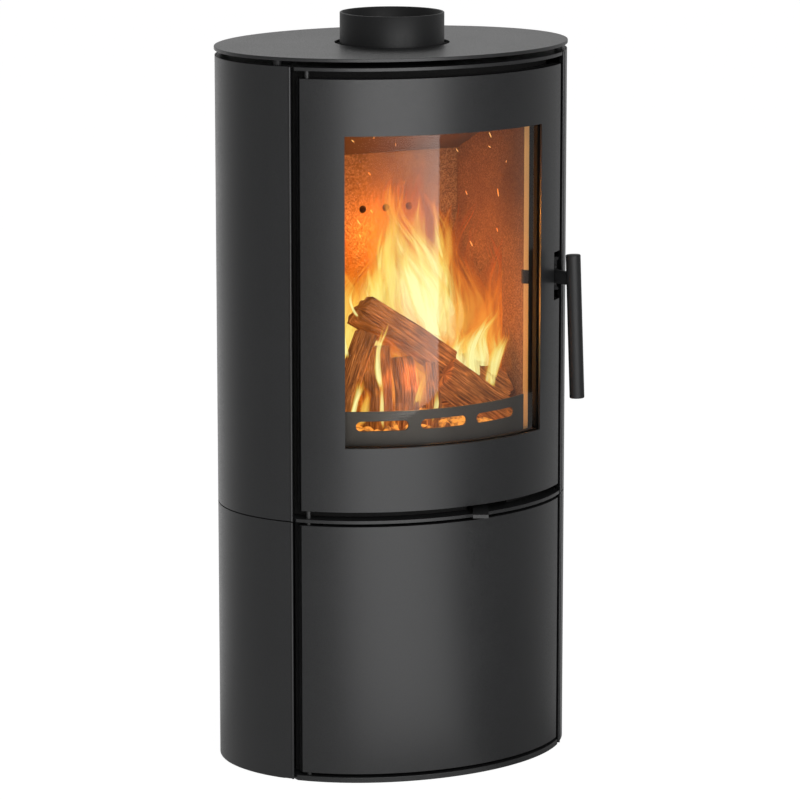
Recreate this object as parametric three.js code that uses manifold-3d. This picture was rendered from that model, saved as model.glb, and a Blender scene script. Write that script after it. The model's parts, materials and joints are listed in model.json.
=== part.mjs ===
// Oval convection wood stove: curved steel casing, curved glass fire door, storage compartment below.
// Millimetres, +Z up, the doors face -Y, origin on the floor at the middle of the oval.
import * as THREE from 'three';
import { mergeVertices } from 'three/addons/utils/BufferGeometryUtils.js';
import Module from 'manifold-3d';

const wasm = await Module();
wasm.setup();

// ---------- Driving dimensions ----------
// Casing oval, seen from above
const WIDTH = 526;
const DEPTH = 410;

// Heights, from the floor up
const BASE_PLATE_T = 8;
const STORE_DOOR_GAP_BELOW = 5;
const STORE_DOOR_H = 362;
const STORE_DOOR_GAP_ABOVE = 4;
const SHELF_PLATE_T = 5;
const FIRE_DOOR_GAP_BELOW = 12;
const FIRE_DOOR_H = 614;
const FIRE_DOOR_GAP_ABOVE = 11;
const HEAD_PLATE_T = 5;
const TOP_PLATE_GAP = 8;
const TOP_PLATE_T = 5;
const TOP_PLATE_OVERHANG = 1;
const COLLAR_RISE = 43;

// Angles on the oval, in degrees from the middle of the front
const DOOR_EDGE = 51.6;
const PANEL_EDGE = 54.6;
const PANEL_REAR_EDGE = 149;
const REAR_PANEL_EDGE = 151;

// Casing sheets
const PANEL_T = 2;
const PANEL_RETURN = 12;
const PANEL_SEAM = 1.6;
const PANEL_FLOOR_GAP = 1.5;
const REAR_PANEL_T = 1.5;
const REAR_PANEL_INSET = 4;
const REAR_SLOT_W = 8;
const REAR_SLOT_H = 64;
const REAR_SLOT_PITCH = 22;
const REAR_SLOT_COUNT = 9;
const REAR_SLOT_MARGIN = 30;
const SPACER_D = 12;
const SPACER_INSET = 12;
const SPACER_ANGLES = [-62, 62, 118, -118];

// Fire door, with insets measured inwards from the casing oval
const DOOR_SHEET_T = 4;
const DOOR_RIM_DEPTH = 16;
const DOOR_CORNER_R = 3;
const DOOR_STILE_W = 50.63;
const WINDOW_BOTTOM_RAIL = 92;
const WINDOW_TOP_RAIL = 79.5;
const GLASS_T = 4;
const GLASS_LAP = 11;
const GASKET_T = 2.4;
const GASKET_RECESS = 2;
const RETAINER_T = 2;
const RETAINER_LAP = 4;
const INNER_FRAME_T = 7.4;
const INNER_FRAME_W = 25;
const ROPE_T = 5.4;
const ROPE_W = 10;

// Firebox
const FIREBOX_FRONT_T = 4;
const FIREBOX_WALL_T = 4;
const FRONT_FLANGE_W = 16.4;
const FRONT_LIP = 12;
const OPENING_ABOVE_WINDOW = 36;
const LINING_SHOWS = 0.5;
const FIREBOX_BACK_DEPTH = 108;
const LINING_T = 25;
const LINING_CHAMFER = 6;
const LINING_FRONT_DEPTH = 86;
const ASH_FLOOR_Z_UP = 26;
const ASH_FLOOR_T = 3;
const ASH_PAN_H = 38;
const ASH_PAN_T = 1;
const ASH_PAN_LIP = 9;
const ASH_PAN_LIP_WEB = 14;
const ASH_PAN_LIP_HALF_W = 60;
const ASH_PAN_FORWARD = 12;
const ASH_PAN_BACK_GAP = 10;
const PRIMARY_AIR_W = 120;
const PRIMARY_AIR_Y = 20;
const PRIMARY_AIR_L = 40;
const HEARTH_SHELF_T = 4;
const HEARTH_T = 24;
const GRATE_W = 140;
const GRATE_L = 190;
const GRATE_T = 14;
const GRATE_SLOT_W = 8;
const GRATE_SLOT_COUNT = 7;
const GRATE_REST = 8;
const GRATE_END = 12;
const GRATE_BRIDGE = 8;
const AIR_HOLE_D = 11.5;
const AIR_HOLE_PITCH = 38;
const AIR_HOLE_COUNT = 5;
const AIR_HOLE_DROP = 82;
const BAFFLE_BACK_DROP = 156;
const BAFFLE_SLOPE = 24;
const BAFFLE_T = 25;
const BAFFLE_RUN = 150;
const UPPER_BAFFLE_T = 4;
const UPPER_BAFFLE_DROP = 26;
const UPPER_BAFFLE_RUN = 150;
const RAIL_H = 14;
const RAIL_T = 4;

// Log guard behind the glass
const GUARD_T = 3;
const GUARD_INSET = 37;
const GUARD_H = 74;
const GUARD_SIDE_GAP = 5.5;
const GUARD_SLOT_H = 14;
const GUARD_SLOT_W = 72;
const GUARD_SLOT_PITCH = 90;
const GUARD_SLOT_DROP = 14;

// Flue collar
const COLLAR_OD = 150;
const COLLAR_WALL = 3;
const COLLAR_FLANGE_W = 18;
const COLLAR_FLANGE_T = 4;
const TOP_HOLE_GAP = 7.5;

// Hinge pins
const PIN_D = 7;
const PIN_INSET = 8;
const PIN_ANGLE = 49.6;
const PIN_GRIP = 24;

// Latch and handle
const LATCH_EDGE = 10.63;
const LATCH_DEPTH = 9.13;
const LATCH_PIN_D = 8;
const LATCH_BOSS_D = 14;
const NOTCH_H = 70;
const NOTCH_W = 16.63;
const NOTCH_Z_UP = 274;
const HOOK_T = 10;
const ARM_H = 19;
const ARM_W = 12;
const ARM_Z_UP = 308;
const GRIP_OUTWARDS = 10;
const GRIP_FORWARD = 44;
const GRIP_D = 21.5;
const GRIP_L = 208;
const GRIP_ABOVE_ARM = 36;
const GRIP_LEAN = 3;
const GRIP_EASE = 1.2;
const BRACKET_T = 4;
const BRACKET_WEB_T = 2.6;
const FINGER_REACH = 29;
const FINGER_TIP = 7;
const FINGER_T = 5;
const FINGER_STEM = 6;
const CATCH_GAP = 1.4;
const CATCH_BEHIND = 18;
const CATCH_D = 8;
const CATCH_EAR_UP = 20;

// Air control
const LEVER_PIVOT_X = 68;
const LEVER_PIVOT_DEPTH = 57;
const LEVER_LENGTH = 99;
const LEVER_W = 22;
const LEVER_T = 5;
const LEVER_SWEEP = 54;
const LEVER_SLOT_MARGIN = 6;
const LEVER_PIN_D = 8;
const AIR_BOX_W = 190;
const AIR_BOX_H = 92;
const AIR_BOX_T = 2;
const AIR_BOX_L = 83;
const SPIGOT_D = 80;
const SPIGOT_WALL = 2;
const SPIGOT_OUT = 12;

// Storage compartment
const STORE_SHEET_T = 2.5;
const STORE_RIM_DEPTH = 14;
const STORE_SIDE_GAP = 16.13;
const STORE_BACK_DEPTH = 80;
const STORE_WALL_T = 2;
const STORE_FRONT_INSET = 26;
const PUSH_BODY_W = 30;
const PUSH_BODY_L = 46;
const PUSH_BODY_H = 14;
const PUSH_BODY_END = 2;
const PUSH_ROD_D = 8;
const PUSH_DROP = 16;
const PUSH_EDGE = 52;
const STRIKE_T = 2;

const FULL_TURN = 360;

// Clearances
const GAP = 0.3;
const RUNNING_GAP = 0.5;
// How far a cutter reaches past the face that it cuts
const CUT_MARGIN = 1;

// Degrees per facet of the oval, degrees that a rim and a front sheet reach before they are trimmed,
// and how full a slot's round end is
const STEP = 4;
const RIM_MARGIN = 2;
const FRONT_REACH = 76;
const ROUND_END = 0.98;

// ---------- Levels and places that follow from the sizes ----------
const halfW = WIDTH / 2;
const halfD = DEPTH / 2;
const storeDoorZ = BASE_PLATE_T + STORE_DOOR_GAP_BELOW;
const storeDoorTop = storeDoorZ + STORE_DOOR_H;
const shelfZ = storeDoorTop + STORE_DOOR_GAP_ABOVE;
const shelfTop = shelfZ + SHELF_PLATE_T;
const fireDoorZ = shelfTop + FIRE_DOOR_GAP_BELOW;
const fireDoorTop = fireDoorZ + FIRE_DOOR_H;
const headZ = fireDoorTop + FIRE_DOOR_GAP_ABOVE;
const headTop = headZ + HEAD_PLATE_T;
const topPlateZ = headTop + TOP_PLATE_GAP;
const topPlateTop = topPlateZ + TOP_PLATE_T;
const windowZ = fireDoorZ + WINDOW_BOTTOM_RAIL;
const windowTop = fireDoorTop - WINDOW_TOP_RAIL;
const gasketInset = DOOR_SHEET_T + GAP;
const glassInset = gasketInset + GASKET_T + GAP;
const retainerInset = glassInset + GLASS_T + GAP;
const innerFrameInset = retainerInset + RETAINER_T + GAP;
const ropeInset = innerFrameInset + INNER_FRAME_T + GAP;
const frontInset = ropeInset + ROPE_T + GAP;
const insideInset = frontInset + FIREBOX_FRONT_T + GAP;
const ashFloorZ = shelfTop + ASH_FLOOR_Z_UP;
const panZ = ashFloorZ + ASH_FLOOR_T + GAP;
const hearthShelfZ = panZ + ASH_PAN_H + FIREBOX_WALL_T;
const hearthZ = hearthShelfZ + HEARTH_SHELF_T + GAP;
const hearthTop = hearthZ + HEARTH_T;
const fireboxBackY = halfD - FIREBOX_BACK_DEPTH;
const liningBackY = fireboxBackY + LINING_T;
const liningFrontY = LINING_FRONT_DEPTH - halfD;
const wallBackY = liningBackY + RUNNING_GAP;

// ---------- Finishes ----------
const finish = (color, roughness, metalness) => new THREE.MeshStandardMaterial({ color, roughness, metalness });
const satinBlack = finish(0x2b2c2e, 0.42, 0.3);
const darkSteel = finish(0x17181a, 0.6, 0.4);
const castIron = finish(0x232323, 0.8, 0.4);
const vermiculite = finish(0xc98f45, 0.95, 0);
const ceramicGlass = finish(0x2a2320, 0.08, 0);
ceramicGlass.transparent = true;
ceramicGlass.opacity = 0.35;
const fibre = finish(0x6d6a64, 0.95, 0);
const zincSteel = finish(0xa9a9a6, 0.4, 0.8);

// ---------- Oval geometry ----------
// A point of the casing oval at an angle from the middle of the front, moved inwards by an inset.
function ovalPoint(degrees, inset = 0) {
  const angle = THREE.MathUtils.degToRad(degrees);
  const point = new THREE.Vector2(halfW * Math.sin(angle), -halfD * Math.cos(angle));
  const outwards = new THREE.Vector2(point.x / halfW ** 2, point.y / halfD ** 2).normalize();
  return point.addScaledVector(outwards, -inset);
}

function ovalArc(from, to, inset) {
  const count = Math.max(2, Math.ceil(Math.abs(to - from) / STEP));
  return Array.from({ length: count + 1 }, (_, i) => ovalPoint(from + (to - from) * i / count, inset));
}

// A band of the oval between two insets, as a flat outline.
function bandShape(from, to, outer, inner) {
  return new THREE.Shape([...ovalArc(from, to, outer), ...ovalArc(to, from, inner)]);
}

// The whole oval at an inset, as a flat outline.
function ovalShape(inset) {
  return new THREE.Shape(ovalArc(-180, 180, inset).slice(0, -1));
}

// Everything behind the curved front at an inset: half the oval, carried straight back.
function behindFront(inset, z0, z1) {
  const side = halfW - inset;
  const outline = [...ovalArc(-90, 90, inset), new THREE.Vector2(side, halfD), new THREE.Vector2(-side, halfD)];
  return upright(new THREE.Shape(outline), z0, z1);
}

// Where the inset oval lies at a given x on the front side.
function frontY(x, inset) {
  let low = 0;
  let high = 89;
  for (let i = 0; i < 40; i += 1) {
    const middle = (low + high) / 2;
    if (ovalPoint(middle, inset).x < Math.abs(x)) low = middle;
    else high = middle;
  }
  return ovalPoint(low, inset).y;
}

const doorX = ovalPoint(DOOR_EDGE).x;
const windowHalfW = doorX - DOOR_STILE_W;
const fireboxHalfW = windowHalfW - LINING_SHOWS;
const liningHalfW = fireboxHalfW + LINING_T;
const wallHalfW = liningHalfW + RUNNING_GAP;
const frontX = wallHalfW + FIREBOX_WALL_T + FRONT_FLANGE_W;
const storeHalfW = doorX - STORE_SIDE_GAP;
const storeBackY = halfD - STORE_BACK_DEPTH;
const notchZ = fireDoorZ + NOTCH_Z_UP;
const armZ = fireDoorZ + ARM_Z_UP;

// ---------- Flat outlines ----------
const vectors = pairs => pairs.map(([x, y]) => new THREE.Vector2(x, y));
const polygon = pairs => new THREE.Shape(vectors(pairs));
const rectangle = (x0, x1, y0, y1) => polygon([[x0, y0], [x1, y0], [x1, y1], [x0, y1]]);

function roundedRectangle(x0, x1, y0, y1, r) {
  const shape = new THREE.Shape();
  shape.absarc(x1 - r, y0 + r, r, -Math.PI / 2, 0);
  shape.absarc(x1 - r, y1 - r, r, 0, Math.PI / 2);
  shape.absarc(x0 + r, y1 - r, r, Math.PI / 2, Math.PI);
  shape.absarc(x0 + r, y0 + r, r, Math.PI, Math.PI * 1.5);
  return shape;
}

function circle(x, y, d) {
  return new THREE.Shape().absarc(x, y, d / 2, 0, Math.PI * 2);
}

function withHoles(shape, holes) {
  shape.holes.push(...holes);
  return shape;
}

// ---------- Solids ----------
// An outline in plan, raised from one level to another.
function upright(shape, bottom, top, curveSegments = 6) {
  return new THREE.ExtrudeGeometry(shape, { depth: top - bottom, bevelEnabled: false, curveSegments })
    .translate(0, 0, bottom);
}

// A cutter that passes through a plate between two levels.
function through(shape, bottom, top, curveSegments) {
  return upright(shape, bottom - CUT_MARGIN, top + CUT_MARGIN, curveSegments);
}

// An outline seen from the front, x across and z up, carried along y.
function alongY(shape, y0, y1, curveSegments = 4) {
  return new THREE.ExtrudeGeometry(shape, { depth: y1 - y0, bevelEnabled: false, curveSegments })
    .rotateX(Math.PI / 2)
    .translate(0, y1, 0);
}

// An outline seen from the right, y across and z up, carried along x.
function alongX(shape, x0, x1, curveSegments = 4) {
  return new THREE.ExtrudeGeometry(shape, { depth: x1 - x0, bevelEnabled: false, curveSegments })
    .rotateX(Math.PI / 2)
    .rotateZ(Math.PI / 2)
    .translate(x0, 0, 0);
}

function cylinder(d, length, segments = 24) {
  return new THREE.CylinderGeometry(d / 2, d / 2, length, segments).rotateX(Math.PI / 2);
}

// A profile of radii and heights, turned about the z axis.
function turned(profile, segments) {
  return new THREE.LatheGeometry(vectors(profile), segments).rotateX(Math.PI / 2);
}

function tube(od, id, length, segments = 48) {
  const profile = [[id / 2, 0], [od / 2, 0], [od / 2, length], [id / 2, length], [id / 2, 0]];
  return turned(profile, segments);
}

function toSolid(geometry) {
  const bare = geometry.clone();
  bare.deleteAttribute('normal');
  bare.deleteAttribute('uv');
  const merged = mergeVertices(bare, 1e-4);
  return new wasm.Manifold(new wasm.Mesh({
    numProp: 3,
    vertProperties: new Float32Array(merged.attributes.position.array),
    triVerts: new Uint32Array(merged.index.array),
  }));
}

function toGeometry(solid) {
  const { vertProperties, triVerts } = solid.getMesh();
  const geometry = new THREE.BufferGeometry();
  geometry.setAttribute('position', new THREE.BufferAttribute(vertProperties, 3));
  geometry.setIndex(new THREE.BufferAttribute(triVerts, 1));
  return geometry;
}

const join = (first, ...rest) => toGeometry(rest.reduce((sum, g) => sum.add(toSolid(g)), toSolid(first)));
const cut = (first, ...rest) =>
  toGeometry(rest.reduce((sum, g) => sum.subtract(toSolid(g)), toSolid(first)));
const common = (first, ...rest) =>
  toGeometry(rest.reduce((sum, g) => sum.intersect(toSolid(g)), toSolid(first)));

// A curved sheet between two insets, trimmed by an outline seen from the front.
function frontSheet(outer, inner, outline, reach = FRONT_REACH) {
  const z = new THREE.Box2().setFromPoints(outline.getPoints(4));
  const band = through(bandShape(-reach, reach, outer, inner), z.min.y, z.max.y);
  return common(band, alongY(outline, -halfD - CUT_MARGIN, 0));
}

// ---------- The stove ----------
const stove = new THREE.Group();

function add(name, geometry, material, parent = stove) {
  const mesh = new THREE.Mesh(geometry, material);
  mesh.name = name;
  parent.add(mesh);
  return mesh;
}

// A plate whose front edge is flush with the doors and whose sides fit inside the side panels.
function casingPlate(z0, t, holes = []) {
  const edge = ovalPoint(PANEL_EDGE);
  const clearX = edge.x - PANEL_T - RUNNING_GAP;
  const clearY = edge.y + PANEL_RETURN + RUNNING_GAP;
  const inside = upright(ovalShape(PANEL_T + RUNNING_GAP), z0, z0 + t);
  const frontRoom = rectangle(-clearX, clearX, -halfD - CUT_MARGIN, clearY);
  const front = common(upright(ovalShape(0), z0, z0 + t), through(frontRoom, z0, z0 + t));
  const foldRoom = [rectangle(clearX, halfW, -halfD, clearY), rectangle(-halfW, -clearX, -halfD, clearY)]
    .map(room => through(room, z0, z0 + t));
  const cutters = holes.map(hole => through(hole, z0, z0 + t, 16));
  return cut(join(cut(inside, ...foldRoom), front), ...cutters);
}

const pinCentre = ovalPoint(-PIN_ANGLE, PIN_INSET);
const pinHole = () => circle(pinCentre.x, pinCentre.y, PIN_D + RUNNING_GAP * 2);

// Plates of the casing
add('base_plate', casingPlate(0, BASE_PLATE_T), darkSteel);
add('shelf_plate', casingPlate(shelfZ, SHELF_PLATE_T, [pinHole()]), satinBlack);
const flueHole = circle(0, 0, COLLAR_OD - COLLAR_WALL * 2);
add('head_plate', casingPlate(headZ, HEAD_PLATE_T, [pinHole(), flueHole]), satinBlack);
const topPlan = withHoles(ovalShape(-TOP_PLATE_OVERHANG), [circle(0, 0, COLLAR_OD + TOP_HOLE_GAP * 2)]);
add('top_plate', upright(topPlan, topPlateZ, topPlateTop, 24), satinBlack);
SPACER_ANGLES.forEach((angle, i) => {
  const at = ovalPoint(angle, SPACER_INSET);
  add(`top_spacer_${i + 1}`, cylinder(SPACER_D, TOP_PLATE_GAP - GAP * 2, 16), zincSteel)
    .position.set(at.x, at.y, headTop + TOP_PLATE_GAP / 2);
});

// Flue collar: a tube on a flange that sits on the head plate
const collarLength = topPlateTop + COLLAR_RISE - headTop - GAP;
const collarR = COLLAR_OD / 2;
const collarProfile = [
  [collarR - COLLAR_WALL, 0], [collarR + COLLAR_FLANGE_W, 0], [collarR + COLLAR_FLANGE_W, COLLAR_FLANGE_T],
  [collarR, COLLAR_FLANGE_T], [collarR, collarLength],
  [collarR - COLLAR_WALL, collarLength], [collarR - COLLAR_WALL, 0],
];
add('flue_collar', turned(collarProfile, 60), satinBlack)
  .position.set(0, 0, headTop + GAP);

// Side panels: two tiers of curved sheet, each with its front edge folded straight back
function sidePanel(side, z0, z1) {
  const edge = ovalPoint(PANEL_EDGE);
  const sheet = upright(bandShape(side * PANEL_EDGE, side * PANEL_REAR_EDGE, 0, PANEL_T), z0, z1);
  const x0 = side > 0 ? edge.x : -edge.x - PANEL_T;
  const fold = upright(rectangle(x0, x0 + PANEL_T, edge.y, edge.y + PANEL_RETURN), z0, z1);
  const whole = upright(ovalShape(0), z0, z1);
  return join(sheet, common(fold, whole));
}
const panelSeamZ = shelfZ;
for (const [word, side] of [['left', -1], ['right', 1]]) {
  const lower = sidePanel(side, PANEL_FLOOR_GAP, panelSeamZ - PANEL_SEAM / 2);
  const upper = sidePanel(side, panelSeamZ + PANEL_SEAM / 2, headTop);
  add(`side_panel_lower_${word}`, lower, satinBlack);
  add(`side_panel_upper_${word}`, upper, satinBlack);
}

// Rear panels: curved sheets with a row of upright convection slots
function rearPanel(z0, z1, slotZ, roundHole) {
  const inner = REAR_PANEL_INSET + REAR_PANEL_T;
  const band = upright(bandShape(REAR_PANEL_EDGE, FULL_TURN - REAR_PANEL_EDGE, REAR_PANEL_INSET, inner), z0, z1);
  const slots = Array.from({ length: REAR_SLOT_COUNT }, (_, i) => {
    const x = (i - (REAR_SLOT_COUNT - 1) / 2) * REAR_SLOT_PITCH;
    const r = REAR_SLOT_W / 2;
    return roundedRectangle(x - r, x + r, slotZ, slotZ + REAR_SLOT_H, r * ROUND_END);
  });
  const cutters = [
    ...slots.map(shape => alongY(shape, 0, halfD + CUT_MARGIN, 2)),
    ...roundHole.map(shape => alongY(shape, 0, halfD + CUT_MARGIN, 18)),
  ];
  return cut(band, ...cutters);
}
const airBoxTop = shelfZ - GAP;
const spigotZ = airBoxTop - AIR_BOX_H / 2;
add('rear_panel_lower', rearPanel(
  BASE_PLATE_T + GAP, shelfZ - GAP, BASE_PLATE_T + REAR_SLOT_MARGIN,
  [circle(0, spigotZ, SPIGOT_D + RUNNING_GAP * 2)]), darkSteel);
const upperSlotZ = headZ - REAR_SLOT_MARGIN - REAR_SLOT_H;
add('rear_panel_upper', rearPanel(shelfTop + GAP, headZ - GAP, upperSlotZ, []), darkSteel);

// ---------- Firebox ----------
// U-shaped walls in plan, trimmed to the inside of the curved front
function wallsU(halfWidth, backY, t, z0, z1, frontTrim) {
  const outer = rectangle(-halfWidth - t, halfWidth + t, -halfD, backY + t);
  const inner = rectangle(-halfWidth, halfWidth, -halfD - CUT_MARGIN, backY);
  return common(cut(upright(outer, z0, z1), through(inner, z0, z1)), behindFront(frontTrim, z0, z1));
}
const fireboxWalls = wallsU(wallHalfW, wallBackY, FIREBOX_WALL_T, shelfTop + GAP, headZ - GAP, insideInset);
add('firebox_walls', fireboxWalls, darkSteel);

// Curved front with the fire opening, the lip below it and the lever's slot under that
const openingHalfW = windowHalfW + FRONT_LIP;
const openingZ = ashFloorZ + ASH_FLOOR_T + GAP;
const openingTop = windowTop + OPENING_ABOVE_WINDOW;
const leverTurn = LEVER_SWEEP / 2;
const leverPivotY = LEVER_PIVOT_DEPTH - halfD;
const leverSlotTop = shelfTop + GAP + LEVER_T + RUNNING_GAP * 2;
function firePlate() {
  const outline = withHoles(rectangle(-frontX, frontX, shelfTop + GAP, headZ - GAP), [
    roundedRectangle(-openingHalfW, openingHalfW, openingZ, openingTop, FRONT_LIP),
  ]);
  const sheet = frontSheet(frontInset, frontInset + FIREBOX_FRONT_T, outline);
  const swing = THREE.MathUtils.degToRad(leverTurn + LEVER_SLOT_MARGIN);
  const half = Math.tan(swing) * (leverPivotY - frontY(LEVER_PIVOT_X, frontInset)) + LEVER_W;
  const slot = rectangle(LEVER_PIVOT_X - half, LEVER_PIVOT_X + half, shelfTop - CUT_MARGIN, leverSlotTop);
  const hookNotch = rectangle(
    wallHalfW + FIREBOX_WALL_T + RUNNING_GAP, halfW, armZ - HOOK_T, armZ + HOOK_T);
  return cut(sheet, alongY(slot, -halfD - CUT_MARGIN, 0), alongY(hookNotch, -halfD, 0));
}
add('firebox_front', firePlate(), darkSteel);

// Ash floor and hearth shelf, both cut to the firebox plan
function fireboxPlate(z0, t, clearance, holes = []) {
  const half = wallHalfW - clearance;
  const plan = rectangle(-half, half, -halfD, wallBackY - clearance);
  const body = common(upright(plan, z0, z0 + t), behindFront(insideInset, z0, z0 + t));
  return holes.length ? cut(body, ...holes.map(hole => through(hole, z0, z0 + t))) : body;
}
const grateY0 = fireboxBackY - GRATE_L - GRATE_T * 2;
const grateHole = rectangle(
  -GRATE_W / 2 + GRATE_REST, GRATE_W / 2 - GRATE_REST, grateY0 + GRATE_REST, grateY0 + GRATE_L - GRATE_REST);
const primaryAir = rectangle(
  -PRIMARY_AIR_W / 2, PRIMARY_AIR_W / 2, PRIMARY_AIR_Y, PRIMARY_AIR_Y + PRIMARY_AIR_L);
add('ash_floor', fireboxPlate(ashFloorZ, ASH_FLOOR_T, RUNNING_GAP, [primaryAir]), darkSteel);
add('hearth_shelf', fireboxPlate(hearthShelfZ, HEARTH_SHELF_T, RUNNING_GAP, [grateHole]), darkSteel);

// Ash pan: an open tray, with a pull lip of angle strip welded on its front
const panHalfW = fireboxHalfW - LINING_T / 2;
const panFrontY = liningFrontY - ASH_PAN_FORWARD;
const panBackY = fireboxBackY - ASH_PAN_BACK_GAP;
const panTop = panZ + ASH_PAN_H;
function ashPan() {
  const t = ASH_PAN_T;
  const outside = upright(rectangle(-panHalfW, panHalfW, panFrontY, panBackY), panZ, panTop);
  const inside = upright(
    rectangle(-panHalfW + t, panHalfW - t, panFrontY + t, panBackY - t), panZ + t, panTop + CUT_MARGIN);
  return cut(outside, inside);
}
function ashPanLip() {
  const seatY = panFrontY - GAP;
  const web = rectangle(seatY - ASH_PAN_T, seatY, panTop - ASH_PAN_LIP_WEB, panTop);
  const lip = rectangle(seatY - ASH_PAN_LIP, seatY, panTop - ASH_PAN_T, panTop);
  const halfW = ASH_PAN_LIP_HALF_W;
  return join(alongX(web, -halfW, halfW), alongX(lip, -halfW, halfW));
}
add('ash_pan', ashPan(), zincSteel);
add('ash_pan_lip', ashPanLip(), zincSteel);

// Grate: cast bars with slots, resting on the edge of the hearth shelf's hole
function grateBars() {
  const plan = rectangle(-GRATE_W / 2, GRATE_W / 2, grateY0, grateY0 + GRATE_L);
  const plate = upright(plan, hearthZ, hearthZ + GRATE_T);
  const pitch = (GRATE_W - GRATE_REST) / GRATE_SLOT_COUNT;
  const rows = [
    [GRATE_END, (GRATE_L - GRATE_BRIDGE) / 2],
    [(GRATE_L + GRATE_BRIDGE) / 2, GRATE_L - GRATE_END],
  ];
  const slots = [];
  for (let i = 0; i < GRATE_SLOT_COUNT; i += 1) {
    const x = (i - (GRATE_SLOT_COUNT - 1) / 2) * pitch;
    for (const [from, to] of rows) {
      const slot = rectangle(x - GRATE_SLOT_W / 2, x + GRATE_SLOT_W / 2, grateY0 + from, grateY0 + to);
      slots.push(through(slot, hearthZ, hearthZ + GRATE_T));
    }
  }
  return cut(plate, ...slots);
}
add('grate', grateBars(), castIron);

// Hearth slabs either side of the grate
const slabHalfW = wallHalfW - RUNNING_GAP * 2;
const slabFrontY = liningFrontY + GAP;
for (const [word, side] of [['left', -1], ['right', 1]]) {
  const inner = GRATE_W / 2 + RUNNING_GAP;
  const plan = side > 0
    ? rectangle(inner, slabHalfW, slabFrontY, wallBackY - RUNNING_GAP * 2)
    : rectangle(-slabHalfW, -inner, slabFrontY, wallBackY - RUNNING_GAP * 2);
  add(`hearth_slab_${word}`, common(
    upright(plan, hearthZ, hearthTop), behindFront(insideInset + GAP, hearthZ, hearthTop)), vermiculite);
}

// ---------- Firebox linings ----------
const liningZ = hearthTop + GAP;
const slope = Math.tan(THREE.MathUtils.degToRad(BAFFLE_SLOPE));
const baffleBackZ = headZ - BAFFLE_BACK_DROP;
const baffleZ = y => baffleBackZ + (fireboxBackY - y) * slope;

// Side linings: slabs whose tops slope with the baffle, chamfered on the inside front edge
function sideLining(side) {
  const front = liningFrontY;
  const back = fireboxBackY - GAP;
  const profile = polygon([
    [front, liningZ], [back, liningZ], [back, baffleZ(back) - GAP], [front, baffleZ(front) - GAP],
  ]);
  const slab = side > 0
    ? alongX(profile, fireboxHalfW, liningHalfW)
    : alongX(profile, -liningHalfW, -fireboxHalfW);
  const trim = behindFront(insideInset + GAP, liningZ, headZ);
  const corner = polygon([
    [side * (fireboxHalfW - CUT_MARGIN), front - CUT_MARGIN],
    [side * (fireboxHalfW + LINING_CHAMFER), front - CUT_MARGIN],
    [side * (fireboxHalfW - CUT_MARGIN), front + LINING_CHAMFER],
  ]);
  return cut(common(slab, trim), through(corner, liningZ, headZ));
}
add('lining_left', sideLining(-1), vermiculite);
add('lining_right', sideLining(1), vermiculite);

// Back lining with its row of air holes
const airHoleZ = baffleBackZ - AIR_HOLE_DROP;
const airHoles = Array.from(
  { length: AIR_HOLE_COUNT },
  (_, i) => circle((i - (AIR_HOLE_COUNT - 1) / 2) * AIR_HOLE_PITCH, airHoleZ, AIR_HOLE_D));
const backOutline = withHoles(rectangle(-liningHalfW, liningHalfW, liningZ, baffleBackZ + BAFFLE_T), airHoles);
add('lining_back', alongY(backOutline, fireboxBackY, liningBackY, 8), vermiculite);

// Lower baffle: a sloping slab that rests on the side linings
function slopingSlab(backY, run, t, rise, halfWidth) {
  const frontYAt = backY - run;
  const profile = polygon([
    [frontYAt, baffleZ(frontYAt) + rise], [backY, baffleZ(backY) + rise],
    [backY, baffleZ(backY) + rise + t], [frontYAt, baffleZ(frontYAt) + rise + t],
  ]);
  return alongX(profile, -halfWidth, halfWidth);
}
add('baffle_lower', slopingSlab(fireboxBackY - GAP, BAFFLE_RUN, BAFFLE_T, 0, liningHalfW), vermiculite);

// Upper baffle: a flat plate on two side rails, closed at the front and open at the back
const upperZ = headZ - UPPER_BAFFLE_DROP;
const upperFrontY = -UPPER_BAFFLE_RUN / 2 - RAIL_H;
const upperBackY = upperFrontY + UPPER_BAFFLE_RUN;
const upperPlan = rectangle(-liningHalfW, liningHalfW, upperFrontY, upperBackY);
add('baffle_upper', upright(upperPlan, upperZ, upperZ + UPPER_BAFFLE_T), castIron);
for (const [word, side] of [['left', -1], ['right', 1]]) {
  const x0 = side > 0 ? liningHalfW - RAIL_H : -liningHalfW;
  const plan = rectangle(x0, x0 + RAIL_H, upperFrontY, upperBackY);
  add(`baffle_rail_${word}`, upright(plan, upperZ - GAP - RAIL_T, upperZ - GAP), darkSteel);
}

// Log guard: a curved strip with three round-ended slots
const guardZ = hearthShelfZ + HEARTH_SHELF_T + GAP;
const guardTop = guardZ + GUARD_H;
const guardHalfW = windowHalfW - GUARD_SIDE_GAP;
const guardSlots = [-1, 0, 1].map(i => roundedRectangle(
  i * GUARD_SLOT_PITCH - GUARD_SLOT_W / 2, i * GUARD_SLOT_PITCH + GUARD_SLOT_W / 2,
  guardTop - GUARD_SLOT_DROP - GUARD_SLOT_H, guardTop - GUARD_SLOT_DROP, GUARD_SLOT_H / 2 * ROUND_END));
add('log_guard', frontSheet(GUARD_INSET, GUARD_INSET + GUARD_T, withHoles(
  rectangle(-guardHalfW, guardHalfW, guardZ, guardTop), guardSlots)), castIron);

// Heat shield between the firebox and the rear panel
const shieldY = wallBackY + FIREBOX_WALL_T + LINING_T / 2;
const shieldOutline = rectangle(-wallHalfW, wallHalfW, shelfTop + GAP, headZ - GAP);
add('heat_shield', alongY(shieldOutline, shieldY, shieldY + REAR_PANEL_T), zincSteel);

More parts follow.
